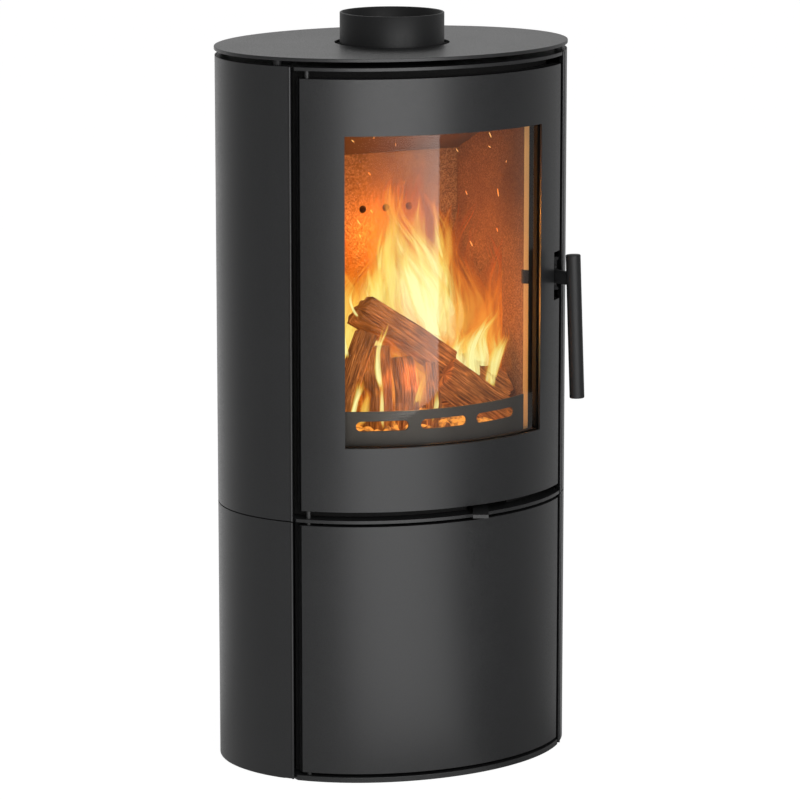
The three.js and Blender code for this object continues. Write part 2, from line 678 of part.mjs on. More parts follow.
// ---------- Air control ----------
// The lever's tail is a disc on the pivot; its tab stands out in front of the shelf plate.
const leverZ = shelfTop + GAP;
function leverPlan() {
  const r = LEVER_W / 2;
  const shape = new THREE.Shape();
  shape.absarc(0, 0, r, 0, Math.PI);
  shape.lineTo(-r, -LEVER_LENGTH);
  shape.lineTo(r, -LEVER_LENGTH);
  return withHoles(shape, [circle(0, 0, LEVER_PIN_D + RUNNING_GAP * 2)]);
}
const lever = add('air_lever', upright(leverPlan(), 0, LEVER_T, 10), satinBlack);
lever.position.set(LEVER_PIVOT_X, leverPivotY, leverZ);
lever.rotation.z = -THREE.MathUtils.degToRad(leverTurn);
add('air_lever_pivot', cylinder(LEVER_PIN_D, ASH_FLOOR_Z_UP - GAP * 2, 16), zincSteel)
  .position.set(LEVER_PIVOT_X, leverPivotY, shelfTop + ASH_FLOOR_Z_UP / 2);

// Air box under the shelf plate, with the fresh-air spigot through the rear panel
const airBoxBackY = storeBackY - STORE_WALL_T;
const airBoxFrontY = airBoxBackY - AIR_BOX_L;
function airBox() {
  const half = AIR_BOX_W / 2;
  const z0 = airBoxTop - AIR_BOX_H;
  const t = AIR_BOX_T;
  const outside = upright(rectangle(-half, half, airBoxFrontY, airBoxBackY), z0, airBoxTop);
  const room = rectangle(-half + t, half - t, airBoxFrontY + t, airBoxBackY - t);
  const inside = upright(room, z0 + t, airBoxTop + CUT_MARGIN);
  const bore = circle(0, spigotZ, SPIGOT_D - SPIGOT_WALL * 2);
  const port = alongY(bore, airBoxBackY - t - CUT_MARGIN, airBoxBackY + CUT_MARGIN, 12);
  return cut(outside, inside, port);
}
add('air_box', airBox(), darkSteel);
const spigotY = storeBackY + STORE_WALL_T + GAP;
const spigotLength = halfD + SPIGOT_OUT - spigotY;
const spigot = tube(SPIGOT_D, SPIGOT_D - SPIGOT_WALL * 2, spigotLength, 36).rotateX(-Math.PI / 2);
add('air_spigot', spigot, zincSteel)
  .position.set(0, spigotY, spigotZ);

// ---------- Fire door ----------
// The window's outline, made larger all round.
function aroundWindow(lap) {
  return rectangle(-windowHalfW - lap, windowHalfW + lap, windowZ - lap, windowTop + lap);
}

function doorPanel() {
  const outline = () => roundedRectangle(-doorX, doorX, fireDoorZ, fireDoorTop, DOOR_CORNER_R);
  const sheet = frontSheet(0, DOOR_SHEET_T, withHoles(outline(), [aroundWindow(0)]));
  const t = DOOR_SHEET_T;
  const tray = withHoles(outline(), [rectangle(-doorX + t, doorX - t, fireDoorZ + t, fireDoorTop - t)]);
  const rim = frontSheet(t / 2, DOOR_RIM_DEPTH, tray, DOOR_EDGE + RIM_MARGIN);
  const notchOutline = rectangle(doorX - NOTCH_W, doorX + CUT_MARGIN, notchZ, notchZ + NOTCH_H);
  const notch = alongY(notchOutline, -halfD - CUT_MARGIN, 0);
  const bores = through(pinHole(), fireDoorZ, fireDoorTop);
  return cut(join(sheet, rim), notch, bores);
}
add('fire_door_panel', doorPanel(), satinBlack);

// A curved frame round the window: its hole and its outer edge are given by how far they lap.
function windowFrame(outer, t, holeLap, edgeLap) {
  return frontSheet(outer, outer + t, withHoles(aroundWindow(edgeLap), [aroundWindow(holeLap)]));
}
add('glass_gasket', windowFrame(gasketInset, GASKET_T, GASKET_RECESS, GLASS_LAP), fibre);
add('door_glass', frontSheet(glassInset, glassInset + GLASS_T, aroundWindow(GLASS_LAP)), ceramicGlass);
add('glass_retainer', windowFrame(retainerInset, RETAINER_T, 0, GLASS_LAP + RETAINER_LAP), darkSteel);

// Inner frame: fills the door round the window and carries the rope seal
const frameOutZ = fireDoorZ + DOOR_SHEET_T + GAP;
const frameTop = fireDoorTop - DOOR_SHEET_T - GAP;
function innerFrame() {
  const half = windowHalfW + INNER_FRAME_W;
  const outline = withHoles(rectangle(-half, half, frameOutZ, frameTop), [aroundWindow(0)]);
  return frontSheet(innerFrameInset, innerFrameInset + INNER_FRAME_T, outline);
}
add('door_inner_frame', innerFrame(), darkSteel);
function ropeSeal() {
  const half = openingHalfW + FIREBOX_FRONT_T / 2 + ROPE_W;
  const z0 = openingZ - FIREBOX_FRONT_T / 2 - ROPE_W;
  const z1 = openingTop + FIREBOX_FRONT_T / 2 + ROPE_W;
  const outline = withHoles(roundedRectangle(-half, half, z0, z1, FRONT_LIP + ROPE_W / 2), [
    roundedRectangle(-half + ROPE_W, half - ROPE_W, z0 + ROPE_W, z1 - ROPE_W, FRONT_LIP - ROPE_W / 2),
  ]);
  return frontSheet(ropeInset, ropeInset + ROPE_T, outline);
}
add('door_rope_seal', ropeSeal(), fibre);

// Hinge pins, fixed in the door and turning in the shelf and head plates
function hingePin(name, z0, z1) {
  add(name, cylinder(PIN_D, z1 - z0, 20), zincSteel)
    .position.set(pinCentre.x, pinCentre.y, (z0 + z1) / 2);
}
hingePin('fire_door_pin_lower', shelfZ, fireDoorZ + PIN_GRIP);
hingePin('fire_door_pin_upper', fireDoorTop - PIN_GRIP, headTop);

// ---------- Latch and handle ----------
const latchX = doorX - LATCH_EDGE;
const latchY = frontY(latchX, 0) + LATCH_DEPTH;
const gripX = latchX + GRIP_OUTWARDS;
const gripY = latchY - GRIP_FORWARD;
const catchY = latchY + CATCH_BEHIND;
// The hook turns on an upright pin between two ears of a bracket inside the door's edge.
const handleDirection = new THREE.Vector2(GRIP_OUTWARDS, -GRIP_FORWARD);
const armLength = handleDirection.length();
handleDirection.normalize();
const catchX = latchX + FINGER_TIP + CATCH_GAP + CATCH_D / 2;
function hookGeometry() {
  const half = ARM_H / 2;
  const boss = circle(0, 0, LATCH_BOSS_D);
  const stem = rectangle(-FINGER_STEM / 2, FINGER_STEM / 2, 0, FINGER_REACH);
  const finger = rectangle(-FINGER_STEM / 2, FINGER_TIP, FINGER_REACH - FINGER_T, FINGER_REACH);
  const section = roundedRectangle(-ARM_W / 2, ARM_W / 2, -half, half, ARM_W / 3);
  const arm = alongY(section, 0, armLength - GRIP_D / 3)
    .rotateZ(Math.atan2(handleDirection.y, handleDirection.x) - Math.PI / 2);
  const body = join(
    upright(boss, -half, half, 12),
    upright(stem, -HOOK_T / 2, HOOK_T / 2),
    upright(finger, -HOOK_T / 2, HOOK_T / 2),
    arm,
  ).translate(latchX, latchY, armZ);
  const bore = through(circle(latchX, latchY, LATCH_PIN_D + RUNNING_GAP * 2), armZ - half, armZ + half, 8);
  return cut(body, gripBody(GAP), bore);
}

// The grip: a round bar with eased ends, leaning away from the door at its lower end.
function gripBody(grow = 0) {
  const r = GRIP_D / 2 + grow;
  const low = -(GRIP_L - GRIP_ABOVE_ARM) - grow;
  const high = GRIP_ABOVE_ARM + grow;
  const profile = [
    [0, low], [r - GRIP_EASE, low], [r, low + GRIP_EASE],
    [r, high - GRIP_EASE], [r - GRIP_EASE, high], [0, high],
  ];
  return turned(profile, 32)
    .rotateY(-THREE.MathUtils.degToRad(GRIP_LEAN))
    .rotateZ(Math.atan2(handleDirection.y, handleDirection.x))
    .translate(gripX, gripY, armZ);
}
add('handle_hook', hookGeometry(), satinBlack);
add('handle_grip', gripBody(), satinBlack);

// Bracket: a web behind the sheet with an ear above and an ear below the hook
const earGap = ARM_H / 2 + RUNNING_GAP;
function latchBracket() {
  const z0 = armZ - earGap - BRACKET_T;
  const z1 = armZ + earGap + BRACKET_T;
  const x0 = windowHalfW + INNER_FRAME_W + GAP;
  const x1 = latchX + LATCH_BOSS_D / 2;
  const ears = frontSheet(DOOR_SHEET_T + GAP, innerFrameInset + INNER_FRAME_T, rectangle(x0, x1, z0, z1));
  const roomPlan = rectangle(x0 + BRACKET_WEB_T, x1 + CUT_MARGIN, -halfD, 0);
  const room = upright(roomPlan, armZ - earGap, armZ + earGap);
  const bore = through(circle(latchX, latchY, LATCH_PIN_D + GAP * 2), z0, z1, 8);
  return cut(ears, room, bore);
}
add('latch_bracket', latchBracket(), darkSteel);
add('latch_pin', cylinder(LATCH_PIN_D, (earGap + BRACKET_T) * 2, 20), zincSteel)
  .position.set(latchX, latchY, armZ);

// Catch on the firebox front: an upright pin between two ears, beside the hook's notch
function latchCatch() {
  const x1 = catchX + CATCH_D / 2;
  const earFront = catchY - CATCH_D / 2;
  const earBack = frontY(frontX - CUT_MARGIN, frontInset);
  const ear = (z0, z1) => cut(
    upright(rectangle(frontX - LATCH_BOSS_D / 2, x1, earFront, earBack), z0, z1),
    behindFront(frontInset - GAP, z0 - CUT_MARGIN, z1 + CUT_MARGIN),
  );
  const z0 = armZ - CATCH_EAR_UP;
  const z1 = armZ + CATCH_EAR_UP;
  const pin = upright(circle(catchX, catchY, CATCH_D), z0 - BRACKET_T, z1 + BRACKET_T, 10);
  return join(ear(z0 - BRACKET_T, z0), ear(z1, z1 + BRACKET_T), pin);
}
add('latch_catch', latchCatch(), darkSteel);

// ---------- Storage compartment ----------
add('storage_walls', storageWalls(), darkSteel);
function storageWalls() {
  const z0 = BASE_PLATE_T + GAP;
  const z1 = shelfZ - GAP;
  const walls = wallsU(storeHalfW, storeBackY, STORE_WALL_T, z0, z1, STORE_FRONT_INSET);
  const between = through(rectangle(-storeHalfW, storeHalfW, -halfD, 0), z0, z1);
  const inset = STORE_FRONT_INSET;
  const band = frontSheet(inset, inset + STORE_WALL_T, rectangle(-frontX, frontX, z0, z1));
  const flanges = cut(band, between);
  const port = alongY(circle(0, spigotZ, SPIGOT_D - SPIGOT_WALL * 2), 0, halfD, 12);
  return cut(join(walls, flanges), port);
}

function storageDoor() {
  const outline = () => roundedRectangle(-doorX, doorX, storeDoorZ, storeDoorTop, DOOR_CORNER_R);
  const t = STORE_SHEET_T;
  const sheet = frontSheet(0, t, outline());
  const tray = withHoles(outline(), [rectangle(-doorX + t, doorX - t, storeDoorZ + t, storeDoorTop - t)]);
  const rim = frontSheet(t / 2, STORE_RIM_DEPTH, tray, DOOR_EDGE + RIM_MARGIN);
  return cut(join(sheet, rim), through(pinHole(), storeDoorZ, storeDoorTop));
}
add('storage_door', storageDoor(), satinBlack);
hingePin('storage_door_pin_lower', BASE_PLATE_T + GAP, storeDoorZ + PIN_GRIP);
hingePin('storage_door_pin_upper', storeDoorTop - PIN_GRIP, shelfZ - GAP);

// Push latch: a body under the shelf plate with a plunger that meets the strike on the door
const pushX = doorX - PUSH_EDGE;
const pushY = frontY(pushX, STORE_FRONT_INSET);
const pushZ = shelfZ - PUSH_DROP;
const pushBodyY = pushY + PUSH_ROD_D;
function pushBody() {
  const halfBody = PUSH_BODY_W / 2;
  const bodyBackY = pushBodyY + PUSH_BODY_L;
  const plan = rectangle(pushX - halfBody, pushX + halfBody, pushBodyY, bodyBackY);
  const hole = circle(pushX, pushZ, PUSH_ROD_D + RUNNING_GAP * 2);
  const bore = alongY(hole, pushBodyY - CUT_MARGIN, bodyBackY - PUSH_BODY_END, 8);
  return cut(upright(plan, pushZ - PUSH_BODY_H / 2, shelfZ - GAP), bore);
}
add('push_latch_body', pushBody(), darkSteel);
const strikeInset = STORE_SHEET_T + GAP;
const strikeBackInset = strikeInset + STRIKE_T;
const plungerTipY = frontY(pushX + PUSH_ROD_D / 2, strikeBackInset) + GAP;
const plungerEndY = pushBodyY + PUSH_BODY_L / 2;
add('push_latch_plunger', cylinder(PUSH_ROD_D, plungerEndY - plungerTipY, 16).rotateX(Math.PI / 2), zincSteel)
  .position.set(pushX, (plungerTipY + plungerEndY) / 2, pushZ);
const strikeOutline = rectangle(
  pushX - PUSH_BODY_W / 2, pushX + PUSH_BODY_W / 2,
  pushZ - PUSH_BODY_H, storeDoorTop - STORE_SHEET_T - GAP);
add('storage_strike', frontSheet(strikeInset, strikeBackInset, strikeOutline), zincSteel);

export default stove;
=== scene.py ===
# %% [markdown]
# # An oval steel wood stove, dressed in Blender
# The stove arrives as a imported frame: every plate, door, brick and pin is already a solid in its
# right place, in metres, with the doors facing -Y. Those solids are faceted, so this lesson lays
# fine curved sheets over the casing, gives every piece a finish, builds the fire behind the
# glass, and sets up the light and the camera.

# %% Load the frame
import json
import math

import bmesh
import bpy
import numpy as np
from mathutils import Euler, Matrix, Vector


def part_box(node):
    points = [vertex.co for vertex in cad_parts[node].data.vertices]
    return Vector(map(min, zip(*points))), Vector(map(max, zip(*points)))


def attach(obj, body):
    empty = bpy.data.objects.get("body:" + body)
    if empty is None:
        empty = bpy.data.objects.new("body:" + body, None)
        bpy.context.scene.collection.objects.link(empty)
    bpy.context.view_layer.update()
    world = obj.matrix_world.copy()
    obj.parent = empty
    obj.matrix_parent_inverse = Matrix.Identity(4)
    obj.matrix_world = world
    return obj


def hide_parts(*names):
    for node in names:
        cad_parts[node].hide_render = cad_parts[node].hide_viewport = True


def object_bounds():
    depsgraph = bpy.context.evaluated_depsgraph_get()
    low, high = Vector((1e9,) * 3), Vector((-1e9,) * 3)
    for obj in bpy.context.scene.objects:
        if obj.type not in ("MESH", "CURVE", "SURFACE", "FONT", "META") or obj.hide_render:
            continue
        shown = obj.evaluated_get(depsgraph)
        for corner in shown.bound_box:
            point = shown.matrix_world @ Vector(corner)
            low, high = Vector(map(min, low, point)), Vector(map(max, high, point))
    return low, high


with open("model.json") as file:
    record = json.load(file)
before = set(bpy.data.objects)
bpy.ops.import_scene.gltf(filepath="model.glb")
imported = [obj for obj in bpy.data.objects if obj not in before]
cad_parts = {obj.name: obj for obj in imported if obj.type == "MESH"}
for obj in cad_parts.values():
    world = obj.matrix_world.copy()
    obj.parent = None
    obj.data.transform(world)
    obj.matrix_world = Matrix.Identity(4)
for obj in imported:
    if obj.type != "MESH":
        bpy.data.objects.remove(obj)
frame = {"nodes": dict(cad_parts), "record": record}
nodes = frame["nodes"]
cad_low, cad_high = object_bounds()
print("frame:", len(nodes), "nodes, height", round(cad_high[2], 3), "m")

# %% [markdown]
# ## The casing's oval
# Seen from above the casing is an ellipse. Every sheet of it lies at some inset from that
# ellipse, measured square to it, so one function of an angle and an inset places them all. The
# angle starts at the middle of the front and grows towards +X.

# %% The oval as a function
HALF_W, HALF_D = 0.263, 0.205


def oval(angle, inset=0.0):
    """Ellipse point at an angle in degrees, x = a sin t, y = -b cos t, moved inwards along its
    normal by inset."""
    t = np.radians(angle)
    x, y = HALF_W * np.sin(t), -HALF_D * np.cos(t)
    nx, ny = x / HALF_W**2, y / HALF_D**2
    length = np.hypot(nx, ny)
    return np.stack([x - inset * nx / length, y - inset * ny / length], -1)


def front_y(x, inset):
    """y of the inset oval's front half at a given x, read off a fine table of oval points."""
    table = oval(np.linspace(-89.5, 89.5, 3000), inset)
    return np.interp(x, table[:, 0], table[:, 1])


print("oval of", 2 * HALF_W, "by", 2 * HALF_D, "m")

# %% [markdown]
# ## From arrays to pieces
# A piece is an array of points and an array of four-cornered faces. Points that fall together,
# at a pole or along a seam, are merged, or the shading would show a line there.

# %% Merging points
MERGE = 1e-5


def places(points):
    """Points in one cell of a 0.01 mm grid share a place: each place's first point, each point's place."""
    grid = np.round(points / MERGE).astype(np.int64)
    _, first, place = np.unique(grid, axis=0, return_index=True, return_inverse=True)
    return first, place.reshape(-1)


def merge(points, faces):
    """Merges points of one place, drops unused ones, and drops a face's doubled corners."""
    first, place = places(points)
    used, faces = np.unique(place[faces], return_inverse=True)
    faces = faces.reshape(-1, 4)
    short = (faces == np.roll(faces, 1, axis=1)).any(1)
    thin = [list(dict.fromkeys(face)) for face in faces[short].tolist()]
    return points[first[used]], faces[~short].tolist() + [face for face in thin if len(face) > 2]


print("points share a place within", MERGE, "m")

# %% [markdown]
# ### A piece
# A closed piece whose volume comes out negative has its faces turned round, so that they all
# look outwards. Each piece then rides on the body that carries it and may stand for the
# frame's own nodes.

# %% Making a piece
def volume(points, faces):
    """Signed volume: a sum of tetrahedra from the origin over each face cut into triangles."""
    fans = [(f[0], f[i], f[i + 1]) for f in faces for i in range(1, len(f) - 1)]
    a, b, c = (points[np.array(column)] for column in zip(*fans))
    return float(np.einsum("ij,ij->i", a, np.cross(b, c)).sum() / 6)


def close_poles(mesh):
    """Merges doubled points in a mesh whose faces already carry their coordinate sets."""
    shell = bmesh.new()
    shell.from_mesh(mesh)
    bmesh.ops.remove_doubles(shell, verts=shell.verts, dist=1e-6)
    shell.to_mesh(mesh)
    shell.free()


def piece(name, points, faces, body, finish, slot, replaces=None, bevel=0.0, sharp=35, closed=True, maps=()):
    """Makes an object, smooth but for edges sharper than an angle, with an optional bevel."""
    if maps:
        faces = faces.tolist()
    else:
        points, faces = merge(points, faces)
    if closed and volume(points, faces) < 0:
        faces = [face[::-1] for face in faces]
    mesh = bpy.data.meshes.new(name)
    mesh.from_pydata(points, [], faces)
    corners = [index for face in faces for index in face]
    for title, values in maps:
        layer = mesh.uv_layers.new(name=title)
        layer.data.foreach_set("uv", values.astype(np.float32)[corners].ravel())
    if maps and closed:
        close_poles(mesh)
    mesh.materials.append(finish)
    mesh.shade_smooth()
    mesh.set_sharp_from_angle(angle=math.radians(sharp))
    mesh.validate()
    obj = bpy.data.objects.new(name, mesh)
    bpy.context.scene.collection.objects.link(obj)
    if bevel:
        edge = obj.modifiers.new("eased edge", "BEVEL")
        edge.width, edge.segments, edge.limit_method = bevel, 2, "ANGLE"
        edge.angle_limit, edge.harden_normals = math.radians(50), True
    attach(obj, body)
    if replaces:
        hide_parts(replaces)
    print(f"{name}: {len(faces)} faces")


# %% [markdown]
# ## Shader maths
# A finish is a small program of shader nodes. `Wire` wraps a number that flows out of a node,
# and its operators add Math nodes, so `1 - mask * 0.5` reads as it would on paper. Colours go
# through Mix nodes instead, because a Math node would turn them grey.

# %% Arithmetic on sockets
class Wire:
    """A number or colour on an output socket; arithmetic on it adds Math nodes."""

    def __init__(self, finish, socket):
        self.finish, self.socket = finish, socket

    def maths(self, operation, a, b=None):
        return self.finish.node("Math", {0: a, 1: b}, operation=operation)

    __add__ = __radd__ = lambda self, other: self.maths("ADD", self, other)
    __mul__ = __rmul__ = lambda self, other: self.maths("MULTIPLY", self, other)
    __sub__ = lambda self, other: self.maths("SUBTRACT", self, other)
    __rsub__ = lambda self, other: self.maths("SUBTRACT", other, self)
    __pow__ = lambda self, other: self.maths("POWER", self, other)
    __abs__ = lambda self: self.maths("ABSOLUTE", self)


print("a wire knows +, -, *, ** and abs")

# %% [markdown]
# ### A finish under construction
# One method adds any shader node, and the others name what the finishes ask for again and
# again: a mix, a place, a noise, a ramp, a range, a bump and the shader at the end.

# %% Finishes
class Finish:
    """A material, or the world, under construction."""

    def __init__(self, name, kind="Material"):
        self.owner = getattr(bpy.data, kind.lower() + "s").new(name)
        self.owner.use_nodes = True
        self.tree = self.owner.node_tree
        self.tree.nodes.clear()
        self.end = "ShaderNodeOutput" + kind

    def node(self, kind, inputs=None, output=0, **settings):
        """Adds a shader node: its settings first, then its inputs by name or number; returns one output."""
        node = self.tree.nodes.new("ShaderNode" + kind)
        for key, value in settings.items():
            if key == "stops":
                ramp = node.color_ramp
                while len(ramp.elements) < len(value):
                    ramp.elements.new(1.0)
                for element, (place, colour) in zip(ramp.elements, value):
                    element.position, element.color = place, (*colour, 1.0)
            else:
                setattr(node, key, value)
        for key, value in (inputs or {}).items():
            if isinstance(value, Wire):
                self.tree.links.new(value.socket, node.inputs[key])
            elif value is not None:
                node.inputs[key].default_value = value
        return Wire(self, node.outputs[output])

    def mix(self, factor, a, b):
        """Colour a where factor is 0, colour b where it is 1."""
        a, b = ((*c, 1.0) if isinstance(c, tuple) else c for c in (a, b))
        return self.node("Mix", {0: factor, 6: a, 7: b}, 2, data_type="RGBA")

    def place(self, uv=None):
        """Where a point lies: in metres, or in a named UV map."""
        if uv:
            return self.node("UVMap", uv_map=uv)
        return self.node("TexCoord", output="Object")

    def part(self, vector, i):
        """One number of a vector."""
        return self.node("SeparateXYZ", {0: vector}, i)

    def ray(self, kind):
        """1 for a camera, glossy or transmission ray, else 0."""
        return self.node("LightPath", output=f"Is {kind} Ray")

    def grain(self, scale, detail=3.0, stretch=None, uv=None, rough=0.5):
        """Noise in object space or in a UV map, stretched along the axes."""
        place = self.place(uv)
        if stretch:
            place = self.node("Mapping", {"Vector": place, "Scale": stretch})
        return self.node("TexNoise", {"Vector": place, "Scale": scale, "Detail": detail, "Roughness": rough})

    def ramp(self, factor, *stops):
        return self.node("ValToRGB", {0: factor}, stops=stops)

    def level(self, value, low, high, to_low=0.0, to_high=1.0):
        """Maps low..high to to_low..to_high, held at the ends."""
        return self.node("MapRange", {0: value, 1: low, 2: high, 3: to_low, 4: to_high})

    def bump(self, height, strength, distance):
        return self.node("Bump", {"Strength": strength, "Distance": distance, "Height": height})

    def surface(self, shader):
        """Sends a shader to the output and hands back the material or world."""
        self.tree.links.new(shader.socket, self.tree.nodes.new(self.end).inputs["Surface"])
        return self.owner

    def principled(self, **inputs):
        """A material of one principled shader; Base_Color stands for the socket Base Color."""
        named = {key.replace("_", " "): (*v, 1.0) if isinstance(v, tuple) else v for key, v in inputs.items()}
        return self.surface(self.node("BsdfPrincipled", named))


print("a finish ends in a principled shader, or in one of its own")

# %% [markdown]
# ### Satin black stove paint
# Heat-proof paint is sprayed thin and dries with a very fine, slightly uneven grain: each speck
# catches the light a little differently. So a noise with cells of about a millimetre moves the
# colour and the roughness a little, and lifts the surface by a few hundredths of a millimetre.

# %% Paints
def paint(name, colour, roughness, shine=0.5):
    """Colour times 1 +- 0.25 in specks and 1 +- 0.06 in clouds; roughness +- 0.09 and +- 0.015."""
    finish = Finish(name)
    fine, cloud = finish.grain(620, 2), finish.grain(9, 4)
    tone = finish.level(fine, 0.3, 0.7, 0.75, 1.25) * finish.level(cloud, 0.3, 0.7, 0.94, 1.06)
    dark, light = (tuple(c * k for c in colour) for k in (0.4, 1.6))
    rough = finish.level(fine, 0.3, 0.7, roughness - 0.09, roughness + 0.09)
    return finish.principled(
        Base_Color=finish.mix(finish.level(tone, 0.4, 1.6), dark, light),
        Roughness=rough + finish.level(cloud, 0.3, 0.7, -0.015, 0.015),
        Normal=finish.bump(fine, 0.25, 0.00007),
        Specular_IOR_Level=shine,
    )


satin_black = paint("satin_black_paint", (0.014, 0.0143, 0.015), 0.39)
soft_black = paint("matt_black_paint", (0.010, 0.0102, 0.0108), 0.5, shine=0.38)
# partly the black steel's own colour, partly painted shade: kept very dark so the gaps between the casing's
# parts read as black
dark_steel = paint("matt_black_steel", (0.006, 0.006, 0.0065), 0.6)
blackened = paint("blackened_steel", (0.016, 0.016, 0.0165), 0.46)
rear_black = paint("rear_black_paint", (0.017, 0.017, 0.0175), 0.5)
# partly soot and partly painted shade: near-black for parts round the glass and the lining fronts that lie in
# shade
soot_and_shade_black = paint("sooted_black_steel", (0.003, 0.0028, 0.0026), 0.9)
guard_grey = paint("grey_cast_paint", (0.044, 0.044, 0.045), 0.5)
print("paints ready")

# %% [markdown]
# ### Cast iron, zinc and rope
# Sooted cast iron is rough and almost black with a trace of brown. Zinc-plated steel is grey
# with faint clouds. The rope seals are braided from glass fibre, so a noise drawn out along
# their height raises the surface. One function makes all three, because only numbers differ.

# %% Metals and rope
def grained(name, dark, light, cloud, lump, roughness, bump, metallic):
    """Colour drifts from dark to light with one noise; another raises the surface, and roughens it
    where roughness is a pair."""
    finish = Finish(name)
    cloud, lump = finish.grain(*cloud), finish.grain(*lump)
    if isinstance(roughness, tuple):
        roughness = finish.level(lump, 0.3, 0.7, *roughness)
    return finish.principled(
        Base_Color=finish.mix(finish.level(cloud, 0.3, 0.7), dark, light),
        Roughness=roughness,
        Metallic=metallic,
        Normal=finish.bump(lump, *bump),
    )


cast_iron = grained("sooted_cast_iron", (0.012, 0.011, 0.010), (0.035, 0.031, 0.028),
                    (30, 4), (260, 4), (0.55, 0.75), (0.5, 0.0006), 0.4)
zinc = grained("dull_zinc", (0.28, 0.28, 0.29), (0.44, 0.44, 0.43),
               (60, 5), (400, 2, (1, 1, 0.05)), (0.34, 0.5), (0.1, 0.0001), 1.0)
rope = grained("glass_fibre_rope", (0.010, 0.0095, 0.009), (0.034, 0.032, 0.029),
               (40, 3), (500, 1, (1, 1, 0.35)), 0.95, (0.9, 0.0008), 0.0)
print("metals and rope ready")

# %% [markdown]
# ### Vermiculite
# The firebox is lined with pressed vermiculite: golden-brown flakes of mica in a matt board. A
# cell pattern gives each flake its own shade, and soot darkens the board in soft patches.

# %% Vermiculite
FLAKES = (0.24, 0.105, 0.034), (0.42, 0.205, 0.072), (0.66, 0.38, 0.16)
# SHADOW is painted shade: the colour of the cut front edge where the door's seal and frame shade it
CUT_EDGE, SOOT, SHADOW = (0.80, 0.50, 0.18), (0.045, 0.014, 0.006), (0.004, 0.0035, 0.003)


def vermiculite_finish(name, tone, sooting):
    """Flakes in three shades times a tone, with soot in patches and towards the top. The cut front
    edge, y < -0.114, stays free of soot, and is painted black as shade where the door's seal and
    frame shade it, |x| > 0.16."""
    finish = Finish(name)
    place = finish.place()
    across, depth, height = (finish.part(place, i) for i in range(3))
    flakes = finish.node("TexVoronoi", {"Vector": place, "Scale": 640.0}, "Color")
    shade = finish.node("SeparateColor", {0: flakes})
    patches = finish.level(finish.grain(7, 5), 0.42, 0.68)
    soot = finish.level(patches * 0.5 + finish.level(height, 0.55, 0.95) * 0.6, 0.0, 1.0) * sooting
    dark, middle, light = (tuple(c * tone for c in colour) for colour in FLAKES)
    board = finish.ramp(shade, (0.0, dark), (0.5, middle), (1.0, light))
    edge = finish.level(depth, -0.1136, -0.1142)
    # painted shade: the cut front edge goes black beyond |x| = 0.16, where the door's seal and frame shade it
    painted_seal_shade = edge * finish.level(abs(across), 0.1600, 0.1606)
    return finish.principled(
        Base_Color=finish.mix(painted_seal_shade, finish.mix(edge, finish.mix(soot, board, SOOT), CUT_EDGE), SHADOW),
        Roughness=0.92,
        Normal=finish.bump(shade, 0.3, 0.0004),
    )


vermiculite = vermiculite_finish("pressed_vermiculite", 0.62, 0.55)
side_board = vermiculite_finish("sooted_side_vermiculite", 0.50, 0.85)
baffle_board = vermiculite_finish("sooted_baffle_vermiculite", 0.10, 1.0)
print("vermiculite ready")

# %% [markdown]
# ### Ceramic glass
# The door's glass is clear, with a trace of haze. It is made from two shaders, one that lets
# everything through and one that mirrors the room, mixed by the angle at which it is seen: a
# refracting glass would cast the fire's own light into a blotchy shadow. A painted fade across
# the pane also takes the reflection away towards the left, painting the soft box's uneven light.

# %% Glass
def glass_finish():
    """The mirror's share is 0.04 + 0.96 slant^5, times ((x + 0.15) / 0.16)^2 held at 0 and 1; that
    second factor is a painted fade that takes the reflection away towards the pane's left.
    """
    finish = Finish("clear_ceramic_glass")
    through = finish.node("BsdfTransparent", {"Color": (0.95, 0.93, 0.90, 1.0)})
    mirror = finish.node("BsdfGlossy", {"Color": (1, 1, 1, 1), "Roughness": 0.02})
    slant = finish.node("LayerWeight", {"Blend": 0.5}, "Facing")
    # painted reflection: the mirror's share fades from full at the middle to none at the pane's left edge
    painted_reflection_fade = finish.level(finish.part(finish.place(), 0), -0.150, 0.010) ** 2
    share = (slant ** 5 * 0.96 + 0.04) * painted_reflection_fade
    return finish.surface(finish.node("MixShader", {0: share, 1: through, 2: mirror}))


glass = glass_finish()
print("glass ready")

# %% [markdown]
# ### Which frame node gets which finish
# The record names a material slot for every node, so the finishes are dealt out by slot. A few
# nodes that soot, heat, a second paint or painted shade have changed are named one by one.

# %% Dress the frame's own nodes
by_slot = {
    "satin_black": satin_black,
    "dark_steel": dark_steel,
    "cast_iron": cast_iron,
    "vermiculite": vermiculite,
    "rope_fibre": rope,
    "zinc_steel": zinc,
    "door_glass": glass,
}
slot_of = {row["node"]: row["material_slot"] for row in frame["record"]["subparts"]}
by_node = {"baffle_lower": baffle_board, "lining_left": side_board, "lining_right": side_board,
           "log_guard": guard_grey}
by_node |= {name: blackened for name in nodes if "_pin_" in name}
# the latch, hook and top spacers in the gaps take this darker steel as painted shade
by_node |= {name: dark_steel for name in nodes if name.startswith(("latch", "handle_hook", "top_spacer"))}
# the glass retainer, the door's inner frame and the firebox front are soot-black and also painted black as
# shade
by_node |= {name: soot_and_shade_black for name in ("glass_retainer", "door_inner_frame", "firebox_front")}
for name, node in nodes.items():
    for holder in node.material_slots:
        holder.material = by_node.get(name, by_slot[slot_of[name]])
print("dressed", len(nodes), "nodes")

# %% [markdown]
# ## Sheets cut on a flat pattern
# A curved sheet with openings starts as a flat pattern of cells, x across and z up. Lines are
# drawn where an opening begins and ends, and the cells inside it are left out.

